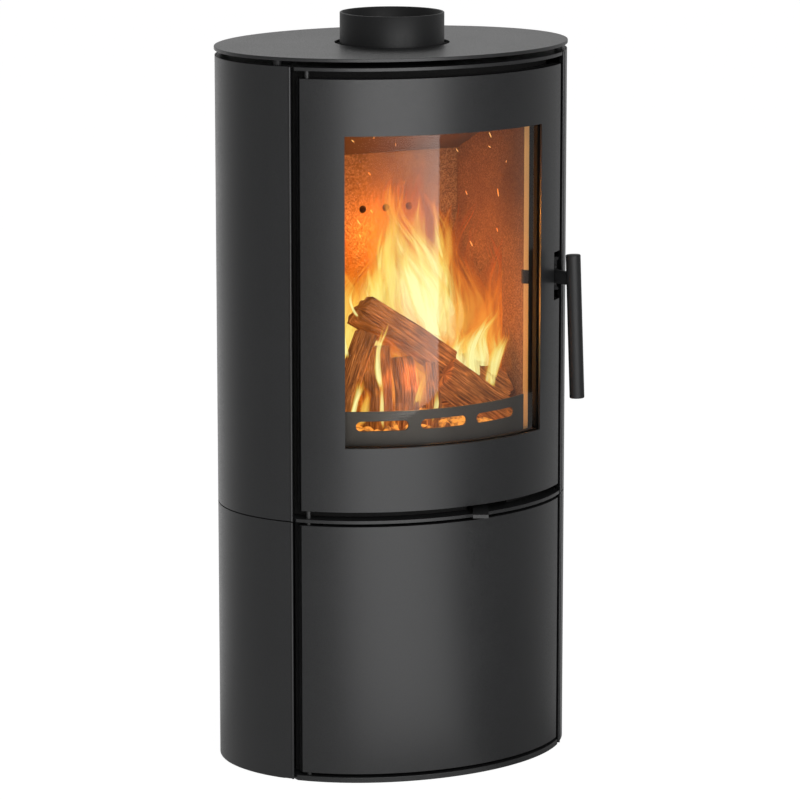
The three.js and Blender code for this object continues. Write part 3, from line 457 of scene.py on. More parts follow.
# %% Patterns
def quads(rows, columns, ring=False):
    """Four-cornered faces of a grid of points; in a ring the last column meets the first."""
    index = np.arange(rows * columns).reshape(rows, columns)
    beside = np.roll(index, -1, axis=1) if ring else index[:, 1:]
    index = index if ring else index[:, :-1]
    return np.stack([index[:-1], beside[:-1], beside[1:], index[1:]], -1).reshape(-1, 4)


def pattern(xs, zs, gaps=()):
    """Cells between x and z lines, without those whose middle falls in a gap (x0, x1, z0, z1)."""
    xs, zs = np.unique(np.round(xs, 6)), np.unique(np.round(zs, 6))
    x, z = np.meshgrid(xs, zs)
    mx, mz = np.meshgrid((xs[:-1] + xs[1:]) / 2, (zs[:-1] + zs[1:]) / 2)
    keep = np.ones(mx.shape, bool)
    for x0, x1, z0, z1 in gaps:
        keep &= ~((mx > x0) & (mx < x1) & (mz > z0) & (mz < z1))
    return np.stack([x.ravel(), z.ravel()], -1), quads(*x.shape)[keep.ravel()]


print("a pattern of 3 by 2 lines has", len(pattern([0, 1, 2], [0, 1])[1]), "cells")

# %% [markdown]
# ### From a pattern to a sheet
# The pattern is laid on two curves, one for the outer face and one for the inner, and walls
# close every edge that only one cell uses, round the outside and round each opening.

# %% Thickness
def join(*parts):
    """Several forms as one; the faces of each count on from the points before it."""
    starts = np.cumsum([0] + [len(points) for points, _ in parts])
    faces = [faces + start for (_, faces), start in zip(parts, starts)]
    return np.concatenate([points for points, _ in parts]), np.concatenate(faces)


def thick(flat, outer, inner):
    """Lays a pattern on an outer and an inner face and closes the edges that only one cell uses."""
    points, cells = flat
    count = len(points)
    edges = np.concatenate([cells[:, [i, (i + 1) % 4]] for i in range(4)])
    _, first, uses = np.unique(np.sort(edges, 1) @ [count, 1], return_index=True, return_counts=True)
    rim = edges[first[uses == 1]]
    walls = np.stack([rim[:, 1], rim[:, 0], rim[:, 0] + count, rim[:, 1] + count], -1)
    faces = np.concatenate([cells, cells[:, ::-1] + count, walls])
    return np.concatenate([outer(points), inner(points)]), faces


def on_oval(inset, side=1):
    """Lays (x, z) on the inset oval's front, or on its rear where side is -1."""
    return lambda p: np.stack([p[:, 0], side * front_y(p[:, 0], inset), p[:, 1]], -1)


print("the oval's front lies at y", round(float(on_oval(0.0)(np.zeros((1, 2)))[0, 1]), 4))

# %% [markdown]
# ## The doors
# Each door is a curved steel sheet whose edges are folded back to make a shallow tray. The
# window is cut straight back, so its left and right reveals are seen at a slant. Sheet and
# folded rim are laid from the same pattern lines, the rim a little behind the sheet's face so
# that only its back edges show.

# %% Fire door and storage door
def levels(node):
    """Lowest and highest z of a frame node."""
    low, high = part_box(node)
    return low[2], high[2]


DOOR_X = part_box("storage_door")[1][0]
LAP = 0.011
window_low, window_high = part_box("door_glass")
WINDOW_X, WINDOW_Z = window_high[0] - LAP, (window_low[2] + LAP, window_high[2] - LAP)
NOTCH_DEEP, NOTCH_UP, NOTCH_TALL = 0.01663, 0.274, 0.070
BACK_Y, SLOPE_X, SLOPE = -0.1108, 0.2001, 0.95


def rim_back(depth):
    """The rim's back edge: y of the inset oval, but no further back than BACK_Y. Beyond SLOPE_X
    the limit comes forward by SLOPE, so that the door can swing past its neighbours."""
    def lay(p):
        limit = BACK_Y - np.maximum(np.abs(p[:, 0]) - SLOPE_X, 0) * SLOPE
        return np.stack([p[:, 0], np.minimum(front_y(p[:, 0], depth), limit), p[:, 1]], -1)
    return lay


def door(name, t, depth, gaps=(), lines_x=(), lines_z=()):
    """A sheet of thickness t on the oval, and a rim of the same sheet that reaches depth behind it."""
    z0, z1 = levels(name)
    xs = [*np.arange(-DOOR_X + 0.003, DOOR_X - 0.001, 0.003), -DOOR_X, DOOR_X, *lines_x]
    zs = [z0, z1, *lines_z]
    inside = (t - DOOR_X, DOOR_X - t, z0 + t, z1 - t)
    cut = [inside, *(gap for gap in gaps if gap[1] > DOOR_X)]
    rim = pattern([*xs, *inside[:2]], [*zs, *inside[2:]], cut)
    return join(thick(pattern(xs, zs, gaps), on_oval(0.0), on_oval(t)),
                thick(rim, on_oval(t / 2), rim_back(depth)))


notch_x, notch_z = DOOR_X - NOTCH_DEEP, levels("fire_door_panel")[0] + NOTCH_UP
notch = (notch_x, DOOR_X + 1, notch_z, notch_z + NOTCH_TALL)
window = (-WINDOW_X, WINDOW_X, *WINDOW_Z)
fire_door = door("fire_door_panel", 0.004, 0.016, [window, notch],
                 [-WINDOW_X, WINDOW_X, notch_x], [*WINDOW_Z, *notch[2:]])
piece("fire_door_sheet", *fire_door, "fire_door", satin_black, "satin_black", "fire_door_panel", bevel=0.0007)
piece("storage_door_sheet", *door("storage_door", 0.0025, 0.014), "storage_door",
      satin_black, "satin_black", "storage_door", bevel=0.0006)
print("window", round(2 * WINDOW_X, 3), "m wide,", round(WINDOW_Z[1] - WINDOW_Z[0], 3), "m high")

# %% [markdown]
# ## Round-ended openings
# A round-ended slot doesn't fit into a pattern of straight lines. So each slot gets a block of
# its own, made of rings that shrink from the block's edge to the slot's, and the blocks are
# put together side by side.

# %% Slotted blocks
def half_round(low, right, centre):
    """A block's low and right side, then both turned half a turn about its centre."""
    sides = [np.stack(np.broadcast_arrays(*side), -1) for side in (low, right)]
    points = np.concatenate(sides)
    return np.concatenate([points, -points]) + centre


def slotted(cx, wide, z0, z1, cz, half, across, upward):
    """A block with one round-ended opening of the half sizes half: rings of points shrink from the
    block's edge to the opening's."""
    s, t = (np.linspace(-1, 1, count + 1)[:-1] for count in (across, upward))
    tall, r = (z1 - z0) / 2, min(half)
    flat_x, flat_z, turn = half[0] - r, half[1] - r, np.radians(t * 90)
    edge = half_round((s * wide, -tall), (wide, t * tall), (cx, (z0 + z1) / 2))
    bow = flat_x + r * np.cos(turn), flat_z * t + r * np.sin(turn)
    hole = half_round((s * flat_x, -half[1]), bow, (cx, cz))
    share = np.linspace(0, 1, 4)[:, None, None]
    rings = edge * (1 - share) + hole * share
    return rings.reshape(-1, 2), quads(*rings.shape[:2], ring=True)


def together(*patterns):
    """Several patterns as one, with the points along shared edges merged."""
    points, cells = join(*patterns)
    first, place = places(points)
    return points[first], place[cells]


print("a block with a slot of 6 by 12 steps has", len(slotted(0, 2, 0, 4, 2, (1, 1), 6, 12)[1]), "cells")

# %% [markdown]
# ## Glass and the log guard
# The glass is laid like a door's sheet, with nothing cut out. The log guard is a curved strip
# behind it with three round-ended slots, each in a block of its own.

# %% Glass and guard
GLASS, GUARD = (0.0070, 0.0110), (0.037, 0.040)
glass_x = np.linspace(window_low[0], window_high[0], 90)
pane = pattern(glass_x, levels("door_glass"))
piece("curved_glass", *thick(pane, *map(on_oval, GLASS)),
      "fire_door", glass, "door_glass", "door_glass", bevel=0.0008)

SLOT_HALF, SLOT_PITCH, SLOT_DROP = (0.036, 0.007), 0.09, 0.014
guard_z = levels("log_guard")
slot_z = guard_z[1] - SLOT_DROP - SLOT_HALF[1]
blocks = [slotted(i * SLOT_PITCH, SLOT_PITCH / 2, *guard_z, slot_z, SLOT_HALF, 24, 10) for i in (-1, 0, 1)]
guard_rows = np.linspace(*guard_z, 11)
ends = [pattern(np.linspace(*pair, 5), guard_rows) for pair in ((-0.150, -0.135), (0.135, 0.150))]
piece("slotted_log_guard", *thick(together(*blocks, *ends), *map(on_oval, GUARD)),
      "casing", guard_grey, "cast_iron", "log_guard", bevel=0.0006)

# %% [markdown]
# ## Side sheets
# A side sheet is bent round the oval's side, and its front edge is folded back beside the doors.
# It is a path seen from above, carried straight up, in two tiers with a thin seam between them.

# %% Casing sheets
FOLD_R, FOLD_DEEP, SIDE_T = 0.0022, 0.012, 0.002


def path_sheet(path, inwards, t, z0, z1):
    """A path in plan carried from z0 to z1, and the same path moved inwards by the thickness t."""
    flat = pattern(np.arange(len(path)), [z0, z1])
    lay = lambda line: lambda p: np.concatenate([line[np.rint(p[:, 0]).astype(int)], p[:, 1:]], 1)
    return thick(flat, lay(path), lay(path + inwards * t))


def side_path(side):
    """From the rear edge round to the front edge, then a small bend and a return straight back."""
    angles = np.linspace(149, 54.9, 90)
    arc, edge = oval(angles), oval(54.6)
    normal = oval(angles, 1.0) - arc
    bend = np.radians(np.linspace(0, 90, 7)[1:])[:, None]
    turn = normal[-1] * np.cos(bend) + np.array([1.0, 0.0]) * np.sin(bend)
    turn /= np.linalg.norm(turn, axis=1, keepdims=True)
    centre = edge + [FOLD_R, 0.0024]
    fold = np.linspace((edge[0], centre[1] + 0.002), (edge[0], edge[1] + FOLD_DEEP), 4)
    path = np.concatenate([arc[:-1], centre - turn * FOLD_R, fold])
    inwards = np.concatenate([normal[:-1], turn, [[1.0, 0.0]] * 4])
    return path * [side, 1], inwards * [side, 1]


SIDES = ("left", -1), ("right", 1)
for word, side in SIDES:
    for tier in ("lower", "upper"):
        node = f"side_panel_{tier}_{word}"
        piece(f"side_sheet_{tier}_{word}", *path_sheet(*side_path(side), SIDE_T, *levels(node)),
              "casing", satin_black, "satin_black", node, bevel=0.0005)

# %% [markdown]
# ### Lining clips
# The side linings are loose boards. A small clip of thin steel is bent round the front edge of
# each and holds it against the wall. It is a path in plan like the side sheets, and very short.

# %% Lining clips
CLIP_Z, CLIP_T = (0.693, 0.713), 0.0004
clip_path = np.array([(0.1545, -0.1080), (0.1545, -0.1138), (0.1598, -0.1194), (0.1660, -0.1194)])
clip_inwards = np.array([(1.0, 0.0), (0.92, 0.38), (0.38, 0.92), (0.0, 1.0)])
for word, side in SIDES:
    clip = path_sheet(clip_path * [side, 1], clip_inwards * [side, 1], CLIP_T, *CLIP_Z)
    piece(f"lining_clip_{word}", *clip, "casing", soot_and_shade_black, "dark_steel")

# %% [markdown]
# ### Rear sheets
# Warm air leaves the casing by a row of upright slots at the back, and fresh air comes in by a
# round spigot. Blocks with one opening each are laid side by side on the rear of the oval.

# %% Rear sheets
SLOT_R, SLOT_TALL, SLOT_STEP, SLOT_ZONE = 0.004, 0.064, 0.022, 0.099
REAR = 0.004, 0.0055


def rear_sheet(node, slot_low, hole=None):
    """Nine slotted blocks in the middle, a block round the hole if there is one, plain cells elsewhere."""
    z0, z1 = levels(node)
    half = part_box(node)[1][0]
    low, high = slot_low - 0.010, slot_low + SLOT_TALL + 0.010
    slot = (low + high) / 2, (SLOT_R, SLOT_TALL / 2)
    blocks = [slotted(i * SLOT_STEP, SLOT_STEP / 2, low, high, *slot, 6, 12) for i in range(-4, 5)]
    columns = np.linspace(-SLOT_ZONE, SLOT_ZONE, 55)
    outer = [np.linspace(*pair, 7) for pair in ((-half, -SLOT_ZONE), (SLOT_ZONE, half))]
    across = np.concatenate([columns, *outer])
    rest = [pattern(line, np.linspace(low, high, 13)) for line in outer]
    bands = [(z0, low), (high, z1)]
    if hole:
        centre, r, box = hole
        beside = columns[np.abs(columns) < box + 1e-6]
        edge = beside.max()
        bands[1:] = [(high, centre - box), (centre + box, z1)]
        rest.append(slotted(0, edge, centre - box, centre + box, centre, (r, r), len(beside) - 1, 24))
        rows = np.linspace(centre - box, centre + box, 25)
        rest += [pattern(across[side * across >= edge - 1e-6], rows) for side in (-1, 1)]
    rest += [pattern(across, np.linspace(*band, 3)) for band in bands]
    sheet = thick(together(*blocks, *rest), *(on_oval(inset, -1) for inset in REAR))
    piece(node.replace("panel", "sheet"), *sheet, "casing", rear_black, "dark_steel", node)


spigot_low, spigot_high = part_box("air_spigot")
spigot_z = (spigot_low[2] + spigot_high[2]) / 2
rear_sheet("rear_panel_lower", levels("rear_panel_lower")[0] + 0.0297, (spigot_z, 0.0405, 0.0445))
rear_sheet("rear_panel_upper", levels("rear_panel_upper")[1] - 0.0297 - SLOT_TALL)

# %% [markdown]
# ## Plates
# The top plate carries the pipe's weight, and three more plates close the casing and part it
# into its rooms. A plate is a ring of cells between an outline and an inner circle, both walked
# by the same angle, so one function makes all four, with a hole or without.

# %% Plates
def plate(outline, hole_r, z0, z1):
    """Rings from an outline to a circle of radius hole_r, on two levels; radius 0 makes a pole."""
    angle = np.arctan2(outline[:, 0], -outline[:, 1])
    inner = hole_r * np.stack([np.sin(angle), -np.cos(angle)], -1)
    share = np.linspace(0, 1, 6)[:, None, None]
    rings = (outline * (1 - share) + inner * share).reshape(-1, 2)
    level = lambda z: lambda p: np.concatenate([p, np.full((len(p), 1), z)], 1)
    return thick((rings, quads(6, len(outline), ring=True)), level(z1), level(z0))


def casing_outline():
    """Flush with the doors at the front, then just inside the side sheets, with a step at their folds."""
    front = oval(np.linspace(-53.6, 53.6, 100))
    back = oval(np.linspace(58.2, 301.8, 200), 0.0025)
    step_x, step_y = oval(54.6) + [-0.0025, 0.0125]
    front = front[np.abs(front[:, 0]) < step_x]
    back = back[(np.abs(back[:, 0]) <= step_x) | (back[:, 1] >= step_y)]
    right = np.array([[step_x, front_y(step_x, 0.0)], [step_x, step_y]])
    return np.concatenate([front, right, back, right[::-1] * [-1, 1]])


around_top = oval(np.arange(-180, 180), -0.001)
around_top[:, 0] = np.clip(around_top[:, 0], cad_low[0], cad_high[0])
casing_line = casing_outline()
for name, line, hole_r, slot, bevel in (
        ("top", around_top, 0.0825, "satin_black", 0.0008),
        ("head", casing_line, 0.072, "satin_black", 0.0006),
        ("shelf", casing_line, 0.0, "satin_black", 0.0006),
        ("base", casing_line, 0.0, "dark_steel", 0.0008)):
    sheet = plate(line, hole_r, *levels(f"{name}_plate"))
    piece(f"{name}_sheet", *sheet, "casing", satin_black, slot, f"{name}_plate", bevel=bevel)

# %% [markdown]
# ### Collar and spigot
# The stove pipe goes on the collar, a short pipe with a flange inside the casing. The spigot at
# the back takes the fresh-air hose. Both are profiles turned once about an axis.

# %% Turned pieces
def turned(profile, steps):
    """A closed profile of (radius, height) turned once about the z axis."""
    r, z = np.array(profile, float).T[..., None]
    angle = np.linspace(0, 2 * np.pi, steps, endpoint=False)
    points = np.stack(np.broadcast_arrays(r * np.cos(angle), r * np.sin(angle), z), -1)
    return points.reshape(-1, 3), quads(len(r) + 1, steps, ring=True) % (len(r) * steps)


z0, z1 = levels("flue_collar")
collar = [(0.072, z0), (0.093, z0), (0.093, z0 + 0.004), (0.075, z0 + 0.004), (0.075, z1 - 0.0006),
          (0.0744, z1), (0.0726, z1), (0.072, z1 - 0.0006)]
piece("turned_collar", *turned(collar, 128), "casing", soft_black, "satin_black", "flue_collar", sharp=50)

points, faces = turned([(0.038, 0.0), (0.040, 0.0), (0.040, 0.0897), (0.038, 0.0897)], 96)
points = points[:, [0, 2, 1]] * [1, 1, -1] + [0, spigot_low[1], spigot_z]
piece("turned_spigot", points, faces, "casing", zinc, "zinc_steel", "air_spigot")

# %% [markdown]
# ### The grip
# The grip is a plain round bar with eased ends. It stands beside the door's edge and its lower
# end leans outwards by three degrees, in the plane that holds the arm.

# %% Grip
GRIP_R, GRIP_BOTTOM, GRIP_TOP, EASE = 0.01075, -0.172, 0.036, 0.0016
GRIP_OFFSET, LEAN = (0.010, -0.044, 0), math.radians(3)
a = np.linspace(0, np.pi / 2, 5)
rise, fall = EASE * np.sin(a), EASE * np.cos(a)
low_end = zip(GRIP_R - EASE + rise, GRIP_BOTTOM + EASE - fall)
high_end = zip(GRIP_R - EASE + fall, GRIP_TOP - EASE + rise)
points, faces = turned([(0, GRIP_BOTTOM), *low_end, *high_end, (0, GRIP_TOP)], 64)
turns = [np.array(Euler(angles).to_matrix()) for angles in ((0, -LEAN, 0), (0, 0, math.atan2(-0.044, 0.010)))]
latch_pin = np.mean(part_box("latch_pin"), axis=0)
points = points @ turns[0].T @ turns[1].T + latch_pin + GRIP_OFFSET
piece("round_grip", points, faces, "handle", soft_black, "satin_black", "handle_grip", sharp=60)

# %% [markdown]
# ## The fire
# Behind the glass lie split logs on a bed of embers. A split log is a wedge: two flat split
# faces meet at the heart, and the third side is the round bark. Its finish reads two
# coordinates of its own, one round the section and one along the log, so that fibres, char and
# glow run with the grain however the log lies.

# %% Wood finish
WOOD = (0.0, (0.08, 0.026, 0.008)), (0.45, (0.27, 0.10, 0.030)), (1.0, (0.60, 0.29, 0.11))


def wood_finish():
    """Fibre and ring noise choose the wood's brown; char darkens it and glow adds light, in patches.
    An orange emission that follows the brown over the whole log is painted firelight from the flames.
    """
    finish = Finish("burning_split_wood")
    fibre = finish.grain(1.0, 6, (64, 2.4, 1), uv="grain", rough=0.72)
    ring = finish.grain(1.0, 3, (16, 0.8, 1), uv="grain")
    char = finish.level(finish.grain(1.0, 4, (4.0, 2.6, 1), uv="grain"), 0.44, 0.60)
    glow = finish.level(finish.grain(1.0, 3, (7.0, 4.0, 1), uv="grain"), 0.60, 0.76)
    tone = finish.level(fibre * 0.75 + ring * 0.25, 0.42, 0.61)
    wood = finish.ramp(tone, *WOOD)
    # painted firelight: the flames' orange light on the wood, given as emission over the whole log
    warm = finish.mix(tone, (0.06, 0.009, 0.0), (0.50, 0.15, 0.022))
    return finish.principled(
        Base_Color=finish.mix(char * 0.8, wood, (0.035, 0.016, 0.009)),
        Roughness=0.85,
        Normal=finish.bump(fibre, 1.0, 0.003),
        Emission_Color=finish.mix(glow * 0.7, warm, (1.0, 0.30, 0.04)),
        Emission_Strength=0.7,
    )


wood = wood_finish()
print("wood ready")

# %% [markdown]
# ### Splitting a log
# A wedge is a sector of a circle, turned by a roll and carried from its low end to its high one.
# Random sines raise grooves along the grain, and the ends are torn a little. The random draws
# are seeded, so that every run stacks the same wood.

# %% Split logs
HEARTH_Z = levels("hearth_slab_left")[1]
ROOM_X, ROOM_FRONT, ROOM_BACK = 0.1525, -0.1160, 0.0945
SPREAD, HEART = 105, 0.62


def sector(steps):
    """Points round a sector of radius 1, from a point on its middle line at the share HEART."""
    half, side = math.radians(SPREAD) / 2, steps // 4
    corner = np.array([math.cos(half), math.sin(half)])
    share = np.linspace(0, 1, side, endpoint=False)[:, None]
    turn = np.linspace(-half, half, steps - 2 * side, endpoint=False)
    bark = np.stack([np.cos(turn), np.sin(turn)], -1)
    return np.concatenate([share * corner * [1, -1], bark, (1 - share) * corner]) - [HEART, 0]


def split_log(name, low, high, radius, roll, seed):
    """Carries the sector from low to high, in millimetres; the radius times 1 plus sines round and
    along gives grooves, and a half sine along it gives a slight bend."""
    local = np.random.default_rng(seed)
    low, high = (np.array(p) / 1000 + [0, 0, HEARTH_Z] for p in (low, high))
    radius /= 1000
    length = np.linalg.norm(high - low)
    turn = Vector((0, 0, 1)).rotation_difference(Vector(high - low)).to_matrix()
    steps, rows = 96, 70
    middle = math.radians(roll + SPREAD / 2)
    spin = np.array([[math.cos(middle), math.sin(middle)], [-math.sin(middle), math.cos(middle)]])
    a = np.linspace(0, 2 * np.pi, steps, endpoint=False)
    v = np.linspace(0, 1, rows)[:, None]
    grooves = sum(h * np.sin(k * a + p + q * v) for h, k, p, q in zip(
        local.uniform(0.002, 0.012, 14), local.integers(4, 38, 14),
        local.uniform(0, 6, 14), local.uniform(-3, 3, 14)))
    waves = 0.02 * np.sin(5 * v + seed) + 0.012 * np.sin(13 * v + 2 * seed)
    bend = local.uniform(-0.004, 0.004, 2) * np.sin(np.pi * v)
    flat = sector(steps) @ spin * (radius * (1 + grooves + waves))[..., None] + bend[:, None]
    ends = np.array([0.94, 0.55, 0.0])[:, None, None]
    flat = np.concatenate([flat[0] * ends[::-1], flat, flat[-1] * ends])
    round_off = np.array([0.0012, 0.0020, 0.0022])
    rise = np.concatenate([-round_off[::-1], v[:, 0] * length, length + round_off])[:, None]
    torn = np.abs(rise / length - 0.5) > 0.499
    torn[[0, -1]] = False
    along = rise + 0.0012 * np.sin(9 * a + seed) * torn
    points = np.concatenate([flat, along[..., None]], -1).reshape(-1, 3) @ np.array(turn).T + low
    points = np.clip(points, [-ROOM_X, ROOM_FRONT, HEARTH_Z + 0.001], [ROOM_X, ROOM_BACK, 1.0])
    across = a / (2 * np.pi) * radius * 40 + seed
    uv = np.stack(np.broadcast_arrays(across, along * 10 + seed * 3), -1).reshape(-1, 2)
    faces = quads(len(flat), steps, ring=True)
    piece(name, points, faces, "casing", wood, "vermiculite", maps=[("grain", uv)], sharp=50)


print("the firebox holds logs up to", round(2 * ROOM_X, 3), "m long")

# %% [markdown]
# ### The stack
# One log leans across the front of the fire, two lie at its foot, and short ends stand between
# them. Each row gives the low end, the high end, the radius in millimetres, counted from the
# middle of the hearth, and the roll in degrees.

# %% The stack of logs
logs = {
    "log_across_front": ((62, -46, 86), (-78, -54, 180), 36, 10),
    "log_leaning_left": ((-134, -97, 6), (-82, -82, 150), 21, 200),
    "log_leaning_right": ((140, -86, 10), (46, -78, 78), 36, 35),
    "log_far_right": ((152, -78, 46), (92, -44, 98), 26, 35),
    "log_upright_middle": ((-24, -92, 4), (-18, -68, 106), 25, 160),
    "log_upright_left": ((-64, -82, 4), (-56, -60, 124), 27, 20),
    "log_upright_right": ((20, -92, 4), (32, -64, 92), 22, 250),
    "log_back": ((-138, 24, 20), (134, 36, 28), 28, 90),
    "log_under": ((-120, -20, 16), (128, -8, 26), 27, 250),
    "log_back_right": ((140, 34, 40), (104, 22, 138), 23, 300),
    "log_back_left": ((-140, 12, 30), (-104, -4, 146), 22, 200),
}
for seed, (name, row) in enumerate(logs.items(), 1):
    split_log(name, *row, seed)

# %% [markdown]
# ### Embers
# The bed of embers is a height field: bumps of several sizes over the hearth, dark on top and
# glowing in the cracks.

# %% Ember bed
def ember_finish():
    """Dark ash over lumps, with light in the cracks, where the lumps' noise is low."""
    finish = Finish("glowing_embers")
    lumps = finish.grain(70, 4)
    ash = finish.grain(120, 3)
    return finish.principled(
        Base_Color=finish.ramp(ash, (0.3, (0.03, 0.025, 0.022)), (0.7, (0.22, 0.17, 0.13))),
        Roughness=0.95,
        Normal=finish.bump(lumps, 0.8, 0.004),
        Emission_Color=finish.mix(finish.level(lumps, 0.56, 0.42), (0.10, 0.018, 0.0), (1.0, 0.36, 0.05)),
        Emission_Strength=1.2,
    )


def ember_bed():
    """Height over the hearth: 7 mm, a low mound and eighteen random waves; underneath it is flat."""
    rng = np.random.default_rng(11)
    x, y = np.meshgrid(np.linspace(-ROOM_X, ROOM_X, 90), np.linspace(ROOM_FRONT, ROOM_BACK, 70))
    waves = sum(h * np.sin(kx * x + ky * y + p) for h, kx, ky, p in zip(*(
        rng.uniform(low, high, 18) for low, high in ((0.0006, 0.0022), (-260, 260), (-260, 260), (0, 6)))))
    mound = 0.014 * np.exp(-(x / 0.11) ** 2 - ((y + 0.01) / 0.08) ** 2)
    top = HEARTH_Z + np.maximum(0.007 + mound + waves, 0.0015)
    raised = lambda z: lambda p: np.concatenate([p, z.reshape(-1, 1)], 1)
    return thick((np.stack([x.ravel(), y.ravel()], -1), quads(*x.shape)),
                 raised(top), raised(np.full_like(top, HEARTH_Z + 0.0006)))


piece("ember_bed", *ember_bed(), "casing", ember_finish(), "vermiculite", sharp=80)

# %% [markdown]
# ### Flames
# A flame is a thin curtain of glowing gas, so it is made as ribbons whose finish is mostly
# light and partly clear. The finish reads three coordinate sets: the place on the ribbon, a
# stretched copy for the streaks, and a pair that says how hot and how dense this lick is. It
# tears the edge into rags that grow towards the tip.

# %% Flame finish
HEAT = ((0.0, (0.62, 0.085, 0.006)), (0.3, (0.95, 0.24, 0.02)), (0.55, (1.0, 0.52, 0.07)),
        (0.78, (0.96, 0.78, 0.18)), (1.0, (0.98, 0.95, 0.42)))


def flame_finish():
    """Body = edge times foot times tip, each from 0 to 1; heat follows the body and cools upwards."""
    finish = Finish("flame")
    place, kind = finish.place("flame"), finish.place("kind")
    across, up, hot, dense = (finish.part(vector, i) for vector in (place, kind) for i in (0, 1))
    streak = finish.grain(1.0, 4, (2.3, 0.9, 1), uv="streak", rough=0.62)
    wisp = finish.grain(1.0, 3, (5.0, 1.5, 1), uv="streak")
    ragged = finish.level(streak, 0.3, 0.7, -0.5, 0.5) * (0.35 + up * 0.9)
    edge = finish.level(1 - abs(across * 2 - 1) + ragged, 0.04, 0.62)
    tip = finish.level(up + ragged * 0.6, 1.0, 0.5)
    body = edge * finish.level(up, 0.0, 0.16) * tip
    heat = hot * finish.level(body, 0.0, 0.8, 0.35, 1.0) - finish.level(up, 0.4, 1.0, 0.0, 0.25)
    return finish.principled(
        Base_Color=(0.0, 0.0, 0.0),
        Roughness=1.0,
        Specular_IOR_Level=0.0,
        Alpha=body * dense * finish.level(wisp, 0.25, 0.6, 0.6, 1.0),
        Emission_Color=finish.ramp(heat + finish.level(wisp, 0.3, 0.7, -0.07, 0.07), *HEAT),
        Emission_Strength=1.2,
    )


flame = flame_finish()
print("flame ready")

# %% [markdown]
# ### Ribbons
# Each lick runs along a curve through three points, its foot, its middle and its tip. It swells
# from a narrow foot and ends in a point, and it sways more the higher it gets. A few ribbons
# at slightly different depths make one lick, which gives the flame some body.

# %% Ribbons of flame
RIBBON_ROWS, RIBBON_COLUMNS = 44, 16


def ribbon(depth, line, width, sway, kind, seed):
    """Parabola through foot, middle and tip; half width = width (v + 0.03)^0.45 (1 - v)^0.6; the
    sway grows with (0.3 + v)^2."""
    local = np.random.default_rng(seed)
    v, u = np.linspace(0, 1, RIBBON_ROWS)[:, None], np.linspace(-1, 1, RIBBON_COLUMNS)[None]
    foot, middle, tip = line
    line = foot * (1 - v) * (1 - 2 * v) + middle * 4 * v * (1 - v) + tip * v * (2 * v - 1)
    phase = local.uniform(0, 6, 3)
    lean = sway * (0.3 + v) ** 2 * (np.sin(5 * v + phase[0]) + 0.5 * np.sin(12 * v + phase[1]))
    swell = width * (v + 0.03) ** 0.45 * (1.001 - v) ** 0.6 * (1 + 0.2 * np.sin(9 * v + phase[2]))
    curl = local.uniform(-0.5, 0.5) + local.uniform(-0.7, 0.7) * v
    x = line[:, :1] + lean + swell * u * np.cos(curl)
    y = depth + swell * u * np.sin(curl) * 0.6 - 0.25 * swell * (1 - u**2)
    z = line[:, 1:] + 0.15 * swell * u * np.sin(4 * v + phase[1])
    x, y = np.clip(x, -ROOM_X, ROOM_X), np.clip(y, ROOM_FRONT, ROOM_BACK)
    tall = np.linalg.norm(tip - foot)
    sets = (x, y, z), ((u + 1) / 2, v), (u * width * 14 + seed * 1.7, v * tall * 9 + seed * 0.9), kind
    whole = np.zeros((RIBBON_ROWS, RIBBON_COLUMNS))
    return [np.stack([part + whole for part in group], -1).reshape(-1, len(group)) for group in sets]


def flames(rows):
    """Every lick is drawn by a few ribbons that differ in seed, depth and width."""
    grids = []
    for row in rows:
        depth, *line, width, hot, dense, copies = row
        line, depth, width = np.reshape(line, (3, 2)) / 1000, depth / 1000, width / 1000
        for copy in range(int(copies)):
            narrow = width * (1 - 0.12 * copy)
            grids.append(ribbon(depth + 0.005 * copy, line, narrow, width * 0.16, (hot, dense), len(grids)))
    points, *maps = (np.concatenate(column) for column in zip(*grids))
    cells = quads(RIBBON_ROWS, RIBBON_COLUMNS)
    faces = np.concatenate([cells + i * RIBBON_ROWS * RIBBON_COLUMNS for i in range(len(grids))])
    return points, faces, list(zip(("flame", "streak", "kind"), maps))


print("ribbons of", RIBBON_ROWS, "by", RIBBON_COLUMNS, "points")

# %% [markdown]
# ### The licks
# A tall body of flame rises behind the front log, a second one at the right, and small licks
# play between the logs. Each row gives the depth y, then x and z of foot, middle and tip, and
# the half width, all in millimetres, then heat, density and the number of ribbons.

